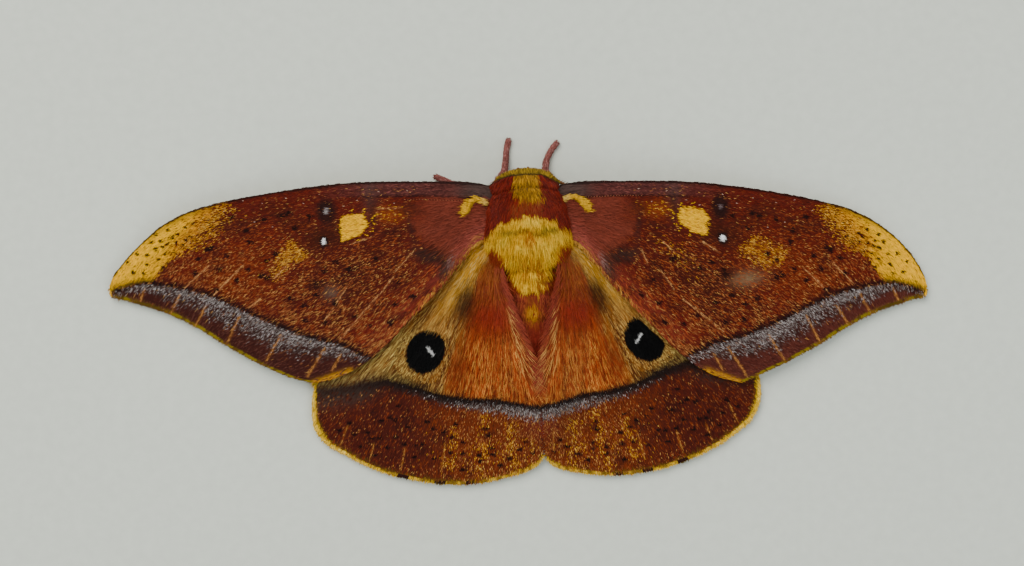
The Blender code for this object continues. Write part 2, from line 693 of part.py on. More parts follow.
def make_head():
    """The head with its palps, sockets for the eyes, and the eyes."""
    head = head_shell(name="head")
    palps = []
    for side, sign in SIDES.items():
        points, faces = limb(mirrored(PALP_PATH, sign), PALP_RADII, 5, 6)
        palps.append(mesh_object("palp_" + side, on_ground(points), faces, "head_fur"))
    combine(head, palps, "UNION")
    cutters = [thorax_shell(GAP)]
    for side, sign in SIDES.items():
        centre = mirrored([EYE_CENTRE], sign)[0]
        points, faces = ball(centre, (EYE_RADIUS,) * 3, swell=GAP)
        cutters.append(mesh_object("socket_" + side, on_ground(points), faces, "eye"))
        points, faces = ball(centre, (EYE_RADIUS,) * 3)
        mesh_object("eye_" + side, on_ground(points), faces, "eye")
    combine(head, cutters, "DIFFERENCE")


def make_antenna(side):
    """A feathered antenna: a tapering shaft with branches along both edges."""
    sign = SIDES[side]
    path = mirrored(ANTENNA_PATH, sign)
    points, faces = limb(path, ANTENNA_RADII, 16, 6)
    antenna = mesh_object("antenna_" + side, on_ground(points), faces, "antenna")
    fine = along(path, np.linspace(0, 1, 61))
    tangent, sideways, upward = path_frames(fine)
    branches = []
    for share in np.linspace(*BRANCH_SPAN, BRANCH_PAIRS):
        at = int(round(share * 60))
        length = BRANCH_LENGTH * (1 - 0.45 * abs(2 * (share - 0.5)))
        for way in (-1, 1):
            tip = fine[at] + length * (way * sideways[at] + 0.5 * tangent[at])
            points, faces = blade(fine[at], tip, tangent[at], BRANCH_WIDTH, 0.4)
            branches.append(mesh_object("branch", on_ground(points), faces, "antenna"))
    combine(antenna, branches, "UNION")
    combine(antenna, [head_shell(GAP)], "DIFFERENCE")


def make_legs():
    for name, path in LEG_PATHS.items():
        points, faces = limb(path, LEG_RADII, 14, 8)
        leg = mesh_object(name, on_ground(points), faces, "leg_scales")
        combine(leg, [thorax_shell(GAP)], "DIFFERENCE")


def make_wings():
    for side in SIDES:
        place = forewing_place(side)
        forewing = wing_object("forewing_" + side, FOREWINGS[side], place, "rust_wing")
        combine(forewing, [thorax_shell(GAP), collar_shell(GAP)], "DIFFERENCE")
        place = hindwing_place(side)
        hindwing = wing_object("hindwing_" + side, HINDWINGS[side], place, "orange_wing")
        combine(hindwing, [thorax_shell(GAP)], "DIFFERENCE")


def main():
    clear_scene()
    make_body()
    make_head()
    for side in SIDES:
        make_antenna(side)
    make_legs()
    make_wings()


main()
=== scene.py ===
import bpy
import numpy as np
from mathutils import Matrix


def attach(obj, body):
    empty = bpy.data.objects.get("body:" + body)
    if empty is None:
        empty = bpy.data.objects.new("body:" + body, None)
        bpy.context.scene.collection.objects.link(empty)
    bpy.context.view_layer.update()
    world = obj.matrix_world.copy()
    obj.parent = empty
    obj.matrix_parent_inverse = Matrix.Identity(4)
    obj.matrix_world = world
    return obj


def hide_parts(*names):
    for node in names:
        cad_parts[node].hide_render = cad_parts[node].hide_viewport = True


# A resting moth seen from straight above. Lengths are millimetres unless a name says so.
# Body, hindwings, legs and antennae are laid out on the body's own axes: x outward, y forward.

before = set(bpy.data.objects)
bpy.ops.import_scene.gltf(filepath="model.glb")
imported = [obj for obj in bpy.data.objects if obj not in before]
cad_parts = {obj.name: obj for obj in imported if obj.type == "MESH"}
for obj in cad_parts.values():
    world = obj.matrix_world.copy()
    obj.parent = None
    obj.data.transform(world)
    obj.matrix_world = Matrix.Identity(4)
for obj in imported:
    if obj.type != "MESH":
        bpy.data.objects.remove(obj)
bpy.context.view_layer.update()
mm = 0.001

bodyPlace = {"pivot": (1.2, 12.6), "yaw": 4.2}      # where the body lies, degrees anticlockwise
sides = {"left": -1, "right": 1}


# Numbers, curves and noise

def linearColour(hexCode):
    # sRGB hex to the linear values that shaders work in
    value = np.array([int(hexCode[i:i + 2], 16) for i in (1, 3, 5)]) / 255
    return np.where(value <= 0.04045, value / 12.92, ((value + 0.055) / 1.055) ** 2.4)


def smoothStep(low, high, value):
    # 0 below low, 1 above high, an S curve between
    t = np.clip((value - low) / (high - low), 0, 1)
    return t * t * (3 - 2 * t)


def patchNoise(x, y, seed=0):
    # smooth random values from 0 to 1 with one bump per unit, by hashing lattice corners
    column, row = np.floor(x).astype(np.int64), np.floor(y).astype(np.int64)
    a, b = x - column, y - row
    a, b = a * a * (3 - 2 * a), b * b * (3 - 2 * b)

    def corner(i, j):
        h = (i * 374761393 + j * 668265263 + seed * 974634777) & 0xFFFFFFFF
        h = ((h ^ (h >> 13)) * 1274126177) & 0xFFFFFFFF
        return ((h ^ (h >> 16)) & 0xFFFF) / 65535

    near = corner(column, row) * (1 - a) + corner(column + 1, row) * a
    far = corner(column, row + 1) * (1 - a) + corner(column + 1, row + 1) * a
    return near * (1 - b) + far * b


def layered(ground, layers):
    # colours laid over a ground in turn, each by an amount from 0 to 1 for every point
    colour = linearColour(ground) if isinstance(ground, str) else ground
    for over, amount in layers:
        over = linearColour(over) if isinstance(over, str) else over
        colour = colour + (over - colour) * np.clip(amount, 0, 1)[..., None]
    return colour


# Masks on a flat plan. A plan's places have x and y in their last axis.

def turnedAxes(flat, centre, turn):
    # places measured along an axis turned by some degrees from x, and across it
    c, s = np.cos(np.radians(turn)), np.sin(np.radians(turn))
    x, y = flat[..., 0] - centre[0], flat[..., 1] - centre[1]
    return x * c + y * s, y * c - x * s


def roundSpot(flat, centre, radii, soft=0.12, power=2.0):
    # 1 inside an oval (power 2) or a rounded square (power 4), falling to 0 over a soft edge
    reach = np.sum(np.abs((flat - centre) / radii) ** power, axis=-1)
    return 1 - smoothStep(1 - soft, 1 + soft, reach ** (1 / power))


def streak(flat, centre, length, width, turn=0):
    # a soft oval smear whose long axis is turned by some degrees from x
    a, b = turnedAxes(flat, centre, turn)
    return np.exp(-(a / length) ** 2 - (b / width) ** 2)


def belowLine(flat, points):
    # how far a place lies behind a line that is given from the body outwards
    points = np.array(points)
    return np.interp(flat[..., 0], points[:, 0], points[:, 1]) - flat[..., 1]


def besideLine(flat, points):
    # how far a place lies outward of a line that is given from front to rear
    points = np.array(points)
    return flat[..., 0] - np.interp(-flat[..., 1], -points[:, 1], points[:, 0])


def joined(points):
    # the straight pieces of a path
    return list(zip(points[:-1], points[1:]))


def lineDistance(flat, start, end):
    # distance to a straight piece: to the foot of the perpendicular, kept between its ends
    run = np.subtract(end, start)
    share = np.clip((flat - start) @ run / (run @ run), 0, 1)
    return np.linalg.norm(flat - start - share[..., None] * run, axis=-1)


def nearLines(flat, lines, width):
    # 1 on the nearest of some straight pieces, falling off beside it as a bell curve
    reach = np.min([lineDistance(flat, *line) for line in lines], axis=0)
    return np.exp(-((reach / width) ** 2))


def insideShape(flat, corners):
    # distance to a closed outline, positive inside it, which crossings to the right tell
    x, y = flat[..., 0], flat[..., 1]
    reach, inside = np.full(x.shape, np.inf), np.zeros(x.shape, bool)
    for start, end in joined([*corners, corners[0]]):
        reach = np.minimum(reach, lineDistance(flat, start, end))
        crossing = start[0] + (y - start[1]) * (end[0] - start[0]) / (end[1] - start[1])
        inside ^= ((start[1] > y) != (end[1] > y)) & (x < crossing)
    return np.where(inside, reach, -reach)


def markDistance(flat, places, stretch=1.0):
    # distance to the nearest of some small marks, which are longer in x by a stretch
    reach = np.full(flat.shape[:-1], np.inf)
    for place in places:
        reach = np.minimum(reach, np.linalg.norm((flat - place) / (stretch, 1), axis=-1))
    return reach


# Paths and places in space

def smoothCurve(points, share):
    # a Hermite curve through the points, read at shares 0 to 1 of its chord length
    points, share = np.asarray(points, float), np.clip(np.asarray(share, float), 0, 1)
    knots = np.concatenate([[0], np.cumsum(np.linalg.norm(np.diff(points, axis=0), axis=1))])
    knots /= knots[-1]
    slopes = np.gradient(points, knots, axis=0)
    stretch = np.clip(np.searchsorted(knots, share, side="right") - 1, 0, len(knots) - 2)
    width = (knots[stretch + 1] - knots[stretch])[..., None]
    t = (share[..., None] - knots[stretch][..., None]) / width
    return (
        (2 * t**3 - 3 * t**2 + 1) * points[stretch]
        + (t**3 - 2 * t**2 + t) * slopes[stretch] * width
        + (3 * t**2 - 2 * t**3) * points[stretch + 1]
        + (t**3 - t**2) * slopes[stretch + 1] * width
    )


def onGround(points):
    # from the body's own axes to the ground's
    points = np.array(points, float)
    c, s = np.cos(np.radians(bodyPlace["yaw"])), np.sin(np.radians(bodyPlace["yaw"]))
    x, y = points[..., 0].copy(), points[..., 1].copy()
    points[..., 0] = bodyPlace["pivot"][0] + c * x - s * y
    points[..., 1] = bodyPlace["pivot"][1] + s * x + c * y
    return points


def fromGround(points):
    # from the ground's axes back to the body's own
    points = np.array(points, float)
    points[..., 0], points[..., 1] = turnedAxes(points, bodyPlace["pivot"], bodyPlace["yaw"])
    return points


def turnedOnGround(vectors):
    # the same turn for directions, which have no place
    return onGround(vectors) - onGround(np.zeros(3))


def unit(vectors):
    return vectors / np.maximum(np.linalg.norm(vectors, axis=-1, keepdims=True), 1e-12)


def mirrored(points, sign=-1):
    return np.array(points, float) * (sign, 1, 1)


# Meshes and materials

def makePiece(name, points, faces, material, colours=None, maps=None, smooth=True):
    # points in millimetres, faces of equal or mixed size, one colour for each point,
    # and maps as {name: one (u, v) for each point}
    mesh = bpy.data.meshes.new(name)
    points = np.asarray(points, float)
    faces = [np.asarray(group) for group in (faces if isinstance(faces, list) else [faces])]
    corners = np.concatenate([group.ravel() for group in faces]).astype(np.int32)
    sizes = np.concatenate([np.full(len(group), group.shape[1]) for group in faces])
    starts = np.concatenate([[0], np.cumsum(sizes)[:-1]]).astype(np.int32)
    mesh.vertices.add(len(points))
    mesh.vertices.foreach_set("co", (points * mm).ravel())
    mesh.loops.add(len(corners))
    mesh.loops.foreach_set("vertex_index", corners)
    mesh.polygons.add(len(sizes))
    mesh.polygons.foreach_set("loop_start", starts)
    mesh.update(calc_edges=True)
    if smooth:
        mesh.shade_smooth()
    else:
        mesh.shade_flat()
    if colours is not None:
        tint = mesh.color_attributes.new("tint", "FLOAT_COLOR", "POINT")
        rgba = np.ones((len(points), 4))
        rgba[:, :3] = colours
        tint.data.foreach_set("color", rgba.ravel())
    for mapName, places in (maps or {}).items():
        layer = mesh.uv_layers.new(name=mapName)
        layer.data.foreach_set("uv", np.asarray(places)[corners].ravel())
    mesh.materials.append(material)
    piece = bpy.data.objects.new(name, mesh)
    bpy.context.scene.collection.objects.link(piece)
    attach(piece, "root")
    return piece


def dress(piece, slotName, *nodes):
    # the piece is what shows in place of these nodes
    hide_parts(*nodes)


def addNode(tree, kind, settings=None, inputs=None):
    # adds a node, sets its options, and sets or links its inputs
    made = tree.nodes.new(kind)
    for key, value in (settings or {}).items():
        setattr(made, key, value)
    for key, value in (inputs or {}).items():
        if isinstance(value, bpy.types.NodeSocket):
            tree.links.new(value, made.inputs[key])
        else:
            made.inputs[key].default_value = value
    return made


def newMaterial(name, finish):
    # finish is what is set on the shader's own sockets
    material = bpy.data.materials.new(name)
    material.use_nodes = True
    shader = material.node_tree.nodes["Principled BSDF"]
    for socket, value in finish.items():
        shader.inputs[socket].default_value = value
    return material, material.node_tree, shader


def tintedMaterial(name, place, grain, shades, bumpHeight, finish):
    # A piece's own tint, broken up by a noise between two shades and raised by it. place is
    # a UV map or None for the object's coordinates, grain the noise's cells for each unit
    # of it, and shades are how dark and light the tint gets
    material, tree, shader = newMaterial(name, finish)
    if place:
        place = addNode(tree, "ShaderNodeUVMap", {"uv_map": place}).outputs["UV"]
    else:
        place = addNode(tree, "ShaderNodeTexCoord").outputs["Object"]
    rows = addNode(tree, "ShaderNodeMapping", None, {"Vector": place, "Scale": grain}).outputs["Vector"]
    detail = 4 if bumpHeight else 2
    fine = addNode(tree, "ShaderNodeTexNoise", None, {"Vector": rows, "Scale": 1.0, "Detail": detail})
    fine = fine.outputs["Fac"]
    dark, light = shades
    shade = addNode(tree, "ShaderNodeMapRange", None, {"Value": fine, "To Min": dark, "To Max": light})
    tint = addNode(tree, "ShaderNodeAttribute", {"attribute_name": "tint"})
    mixed = addNode(
        tree, "ShaderNodeMix", {"data_type": "RGBA", "blend_type": "MULTIPLY"},
        {"Factor": 1.0, "A": tint.outputs["Color"], "B": shade.outputs["Result"]},
    )
    tree.links.new(mixed.outputs["Result"], shader.inputs["Base Color"])
    if bumpHeight:
        bump = addNode(
            tree, "ShaderNodeBump", None, {"Height": fine, "Strength": 0.8, "Distance": bumpHeight * mm},
        )
        tree.links.new(bump.outputs["Normal"], shader.inputs["Normal"])
    return material


def twoToneMaterial(name, pattern, output, grain, tones, bumpHeight, finish):
    # A pattern on the object's own coordinates that runs from one colour to another, and
    # that raises the surface, or sinks it where the height is below nought
    material, tree, shader = newMaterial(name, finish)
    place = addNode(tree, "ShaderNodeTexCoord").outputs["Object"]
    made = addNode(tree, pattern, None, {"Vector": place, **grain}).outputs[output]
    first, second = ((*linearColour(tone), 1) for tone in tones)
    ramp = addNode(tree, "ShaderNodeMix", {"data_type": "RGBA"}, {"Factor": made, "A": first, "B": second})
    tree.links.new(ramp.outputs["Result"], shader.inputs["Base Color"])
    if bumpHeight:
        bump = addNode(
            tree, "ShaderNodeBump", {"invert": bumpHeight < 0},
            {"Height": made, "Strength": 0.5, "Distance": abs(bumpHeight) * mm},
        )
        tree.links.new(bump.outputs["Normal"], shader.inputs["Normal"])
    return material


# Flat chitin scales and hairs: dull, with a faint silky sheen and flakes half a millimetre across
tuftGloss = {"Specular IOR Level": 0.12, "Sheen Roughness": 0.45}
skinGloss = {"Specular IOR Level": 0.15}
materials = {
    "wingTufts": tintedMaterial(
        "flatWingScales", None, (2000, 2000, 2000), (0.8, 1.2), 0,
        {"Roughness": 0.7, "Sheen Weight": 0.02, **tuftGloss},
    ),
    "hairTufts": tintedMaterial(
        "silkyBodyHair", None, (2500, 2500, 2500), (0.8, 1.2), 0,
        {"Roughness": 0.62, "Sheen Weight": 0.04, **tuftGloss},
    ),
    # Membrane and cuticle under the scales: matte, broken up and raised by fine scale rows
    "wingSkin": tintedMaterial(
        "wingMembrane", "alongVeins", (150, 36, 1), (0.55, 1.35), 0.06, {"Roughness": 0.7, **skinGloss},
    ),
    "bodySkin": tintedMaterial(
        "furredCuticle", None, (4000, 900, 4000), (0.55, 1.35), 0.1, {"Roughness": 0.8, **skinGloss},
    ),
    "legSkin": tintedMaterial(
        "legCuticle", None, (5000, 1600, 5000), (0.55, 1.35), 0.06, {"Roughness": 0.7, **skinGloss},
    ),
    # Compound eye: smooth dark cuticle, glossy, with a faint net of facets. Real facets are
    # 0.03 mm across, and these are drawn at 0.15 mm so that they show
    "eye": twoToneMaterial(
        "compoundEyeCuticle", "ShaderNodeTexVoronoi", "Distance", {"Scale": 1 / 0.00015},
        ("#2a1710", "#0c0706"), -0.03, {"Roughness": 0.22, "IOR": 1.56},
    ),
    # Antenna: bare golden-brown cuticle, satin, ringed by its short joints 0.4 mm apart
    "antenna": twoToneMaterial(
        "antennaCuticle", "ShaderNodeTexNoise", "Fac", {"Scale": 1 / 0.0004, "Detail": 3},
        ("#4c2a14", "#96602c"), 0.04, {"Roughness": 0.45},
    ),
    # Fine cast plaster: pale, matte, faintly mottled with grains about 1.5 mm across
    "floor": twoToneMaterial(
        "palePlaster", "ShaderNodeTexNoise", "Fac", {"Scale": 1 / 0.0015, "Detail": 5},
        ("#d2d8ca", "#e2e8da"), 0, {"Roughness": 0.9},
    ),
}


# Tufts of scales and hair

tuftShape = {
    "sink": 0.05,                   # how far a root starts under the skin
    "bend": 1.6, "taper": 0.35,     # how early a lock of hair lifts, and how it thins
    "ridge": 0.32,                  # height of its section for each width
    # painted shade darkens each tuft toward its root, painted light brightens its tip
    "paintedRootShade": 0.74, "paintedTipLight": 1.05,
    "patch": 0.003,                 # size of its patch on the unwrap
}


def gridFaces(rows, columns, offset=0, flip=False):
    # quads between neighbouring points of a grid
    index = np.arange(rows * columns).reshape(rows, columns) + offset
    quads = np.stack([index[:-1, :-1], index[1:, :-1], index[1:, 1:], index[:-1, 1:]], axis=-1)
    quads = quads.reshape(-1, 4)
    return quads[:, ::-1] if flip else quads


def makeTufts(name, roots, lie, outward, length, width, lift, colours, patches, material, rings=1):
    # Each tuft is a closed spike with a flat three-cornered section: it starts under the
    # skin, follows the lie of the coat and curls up by lift. rings is 1 for a straight
    # scale tuft and 2 for a bent lock of hair. patches is each root's place on the unwrap
    shape, count = tuftShape, len(roots)
    lie = unit(lie - outward * np.sum(lie * outward, axis=1, keepdims=True))
    across = np.cross(outward, lie)
    length, width, lift = (np.broadcast_to(v, count)[:, None] for v in (length, width, lift))
    points, tints, spread = [], [], []
    for share in np.linspace(0, 1, rings + 1)[:-1]:
        rise = lift * shape["bend"] * share - shape["sink"] * (share == 0)
        middle = roots + lie * length * share + outward * rise
        thin = 1 - shape["taper"] * share
        # each ring is darkened toward the root as painted shade
        shade = shape["paintedRootShade"] + (1 - shape["paintedRootShade"]) * share
        for a, b in ((0.5, 0.0), (0.0, shape["ridge"]), (-0.5, 0.0)):
            points.append(middle + across * width * a * thin + outward * width * b * thin)
            spread.append((a, share))
            tints.append(colours * shade)
    points.append(roots + lie * length + outward * lift)
    spread.append((0.0, 1.0))
    # the tip is lightened as painted light
    tints.append(colours * shape["paintedTipLight"])
    perTuft = len(points)
    points = np.stack(points, axis=1).reshape(-1, 3)
    points[:, 2] = np.maximum(points[:, 2], 0.01)          # nothing reaches below the floor
    tints = np.stack(tints, axis=1).reshape(-1, 3)
    places = (patches[:, None, :] + shape["patch"] * (np.array(spread) - (0, 0.5))[None]).reshape(-1, 2)
    start = (np.arange(count) * perTuft)[:, None]
    tip, last = perTuft - 1, 3 * (rings - 1)
    base = start + np.array([[0, 2, 1]])
    ends = [start + np.array([[last + i, last + (i + 1) % 3, tip]]) for i in range(3)]
    groups = [np.concatenate([base, *ends])]
    if rings > 1:
        walls = [start + np.array([[i, (i + 1) % 3, 3 + (i + 1) % 3, 3 + i]]) for i in range(3)]
        groups.append(np.concatenate(walls))
    tufts = makePiece(name, points, groups, material, tints, {"OFBake": places}, smooth=False)


def scatterOnGrid(points, extras, count, rng, weight=None):
    # random places spread evenly over a grid's area, or by weight, with whatever else is
    # known at the grid's points read at the same places
    u, v = points[1:, :-1] - points[:-1, :-1], points[:-1, 1:] - points[:-1, :-1]
    area = np.linalg.norm(np.cross(u, v), axis=-1)
    if weight is not None:
        area = area * (weight[1:, 1:] + weight[:-1, :-1]) / 2
    cell = rng.choice(area.size, size=count, p=(area / area.sum()).ravel())
    i, j = np.unravel_index(cell, area.shape)
    a, b = rng.random((2, count))[..., None]

    def read(values):
        values = values if values.ndim == 3 else values[..., None]
        near = values[i, j] * (1 - a) + values[i + 1, j] * a
        far = values[i, j + 1] * (1 - a) + values[i + 1, j + 1] * a
        return near * (1 - b) + far * b

    return read(points), [read(extra) for extra in extras]


# Wings

wingShape = {
    "thickness": 0.5, "edge": 0.18, "vein": 0.16, "veinWidth": 0.3, "pleat": 0.07,
    "columns": 112, "rows": 150,    # grid points across and along each wing
    "skinEnd": 0.992,               # where the skin gives way to the fringe
    "underCoat": 0.06,              # how far the skin lies below the roots of the scales
}

forewing = {
    "costa": [
        (-2.2, -0.9), (0.0, -0.3), (9.0, 0.15), (19.3, 0.05), (30.2, -1.15), (38.2, -2.55),
        (42.6, -3.65), (46.7, -5.5), (50.3, -8.2), (53.0, -11.4), (54.2, -13.6), (54.7, -15.6),
    ],
    "outer": [
        (54.7, -15.6), (54.3, -16.6), (52.9, -16.95), (50.3, -17.7), (45.7, -19.3),
        (42.2, -21.05), (37.8, -23.85), (33.1, -26.5), (28.9, -28.4), (25.6, -29.3),
    ],
    "hind": [
        (-2.2, -8.0), (1.2, -8.6), (4.0, -11.4), (7.2, -15.3), (11.5, -19.9),
        (15.5, -24.2), (19.0, -26.9), (22.2, -28.5), (25.6, -29.3),
    ],
    "veins": [0.045, 0.13, 0.285, 0.405, 0.575, 0.77, 0.92],
    "cell": (1, 4), "cellEnd": 0.42,
    "rootHeight": 8.5, "marginHeights": (1.15, 2.6), "sag": 1.15,
    "roots": {"left": (-5.15, 18.6), "right": (6.8, 18.7)},
    "span": {"left": 1.027, "right": 0.969}, "lean": {"left": 0.04, "right": -0.04},
}
hindwing = {
    "costa": [(4.2, 0.6), (6.0, 0.2), (12.0, -3.2), (20.0, -8.2), (27.0, -13.4), (31.0, -18.2)],
    "outer": [
        (31.0, -18.2), (32.5, -21.8), (33.15, -25.0), (32.95, -28.1), (31.6, -30.6),
        (28.9, -32.6), (25.6, -34.5), (22.4, -35.8), (19.2, -36.75), (15.2, -37.45),
        (11.2, -37.7), (7.7, -37.4), (4.7, -36.85), (2.2, -36.15), (0.9, -35.4), (0.2, -34.3),
    ],
    "hind": [
        (3.4, -3.2), (4.2, -6.4), (3.4, -10.2), (2.3, -14.2), (1.2, -18.0),
        (0.35, -21.4), (0.2, -25.0), (0.2, -34.3),
    ],
    "veins": [0.07, 0.25, 0.38, 0.48, 0.62, 0.77, 0.89],
    "cell": (1, 4), "cellEnd": 0.36,
    "rootHeight": 6.2, "marginHeights": (1.05, 1.05), "sag": 1.3,
    "span": {"left": 1.016, "right": 0.984}, "lean": {"left": 0.012, "right": -0.012},
    # rows of distance along the axis, height and radius of the crest over the abdomen
    "crest": [
        (2.0, 8.4, 4.9), (-4.0, 10.2, 5.0), (-9.0, 10.35, 5.1), (-14.0, 9.85, 4.9), (-19.0, 8.9, 4.5),
        (-24.0, 7.65, 3.9), (-28.0, 6.0, 3.4), (-31.0, 4.1, 3.2), (-34.0, 1.9, 3.0), (-38.0, -1.5, 3.0),
    ],
    "crestBlend": 0.9,
}

leftCosta = [
    (-2.2, -0.9), (0.0, -0.3), (9.0, 0.15), (19.3, 0.0), (30.2, -1.35), (38.1, -2.85),
    (42.45, -4.1), (46.35, -6.1), (49.7, -8.85), (52.45, -11.75), (53.95, -13.7), (54.7, -15.6),
]
rightMargin = [
    (54.7, -15.6), (54.3, -16.6), (52.9, -16.95), (50.3, -17.7), (45.7, -19.3),
    (42.2, -21.05), (37.7, -23.65), (32.9, -26.1), (28.7, -27.95), (25.6, -29.3),
]
leftHindMargin = [
    (31.0, -18.2), (32.5, -21.8), (33.15, -25.0), (32.95, -28.1), (31.5, -30.5), (28.7, -32.35),
    (25.5, -34.3), (22.35, -35.65), (19.15, -36.6), (15.2, -37.4), (11.2, -37.7), (7.7, -37.4),
    (4.7, -36.85), (2.2, -36.15), (0.9, -35.4), (0.2, -34.3),
]
forewings = {"left": dict(forewing, costa=leftCosta), "right": dict(forewing, outer=rightMargin)}
hindwings = {"left": dict(hindwing, outer=leftHindMargin), "right": hindwing}


def wingPlan(wing, s, v):
    # a Coons patch: the blend of costa and hind edge, plus the blend of root and outer
    # edge, less the blend of the four corners. s runs from costa to hind edge, v outwards
    costa, hind = smoothCurve(wing["costa"], v), smoothCurve(wing["hind"], v)
    outer = smoothCurve(wing["outer"], s)
    first, last = np.array(wing["costa"][0]), np.array(wing["hind"][0])
    tip, corner = np.array(wing["outer"][0]), np.array(wing["outer"][-1])
    s, v = s[..., None], v[..., None]
    corners = (1 - s) * (1 - v) * first + s * (1 - v) * last + (1 - s) * v * tip + s * v * corner
    return (1 - s) * costa + s * hind + (1 - v) * (first + (last - first) * s) + v * outer - corners


def wingRelief(wing, s, v):
    # ridges over the veins, none across the discal cell, with shallow pleats between
    outer = smoothCurve(wing["outer"], np.linspace(0, 1, 60))
    margin = np.sum(np.linalg.norm(np.diff(outer, axis=0), axis=1))
    local = margin * (0.25 + 0.75 * v)
    low, high = (wing["veins"][i] for i in wing["cell"])
    height = np.zeros_like(s)
    for vein in wing["veins"]:
        ridge = np.exp(-((s - vein) * local / wingShape["veinWidth"]) ** 2)
        if low < vein < high:
            ridge = ridge * smoothStep(wing["cellEnd"] - 0.02, wing["cellEnd"] + 0.03, v)
        height += wingShape["vein"] * ridge
    edges = np.array([0.0, *wing["veins"], 1.0])
    stretch = np.clip(np.searchsorted(edges, s, side="right") - 1, 0, len(edges) - 2)
    middle = (s - edges[stretch]) / (edges[stretch + 1] - edges[stretch])
    pleat = np.sin(np.pi * np.clip(middle, 0, 1)) ** 2 * smoothStep(0.1, 0.5, v)
    return height - wingShape["pleat"] * pleat


def wingHeight(wing, s, v):
    # the membrane sags from the root to its margin, which is higher toward the hind corner
    front, rear = wing["marginHeights"]
    margin = front + (rear - front) * smoothStep(0, 1, s)
    return margin + (wing["rootHeight"] - margin) * (1 - v) ** wing["sag"]


def placeForewing(side, s, v):
    flat = wingPlan(forewings[side], s, v)
    root, span, lean = (forewing[key][side] for key in ("roots", "span", "lean"))
    x = root[0] + sides[side] * (flat[..., 0] * span + flat[..., 1] * lean)
    return flat, np.stack([x, root[1] + flat[..., 1], wingHeight(forewing, s, v)], axis=-1)


def placeHindwing(side, s, v):
    # the crest over the abdomen is a parabola across the body, joined by a smooth maximum
    flat = wingPlan(hindwings[side], s, v)
    x = flat[..., 0] * hindwing["span"][side]
    y = flat[..., 1] + flat[..., 0] * hindwing["lean"][side]
    rows = np.array(hindwing["crest"])[::-1]
    ridge = np.interp(y, rows[:, 0], rows[:, 1]) - x**2 / (2 * np.interp(y, rows[:, 0], rows[:, 2]))
    low = wingHeight(hindwing, s, v)
    z = (low + ridge + np.sqrt((low - ridge) ** 2 + hindwing["crestBlend"] ** 2)) / 2
    return flat, onGround(np.stack([sides[side] * x, y, z], axis=-1))


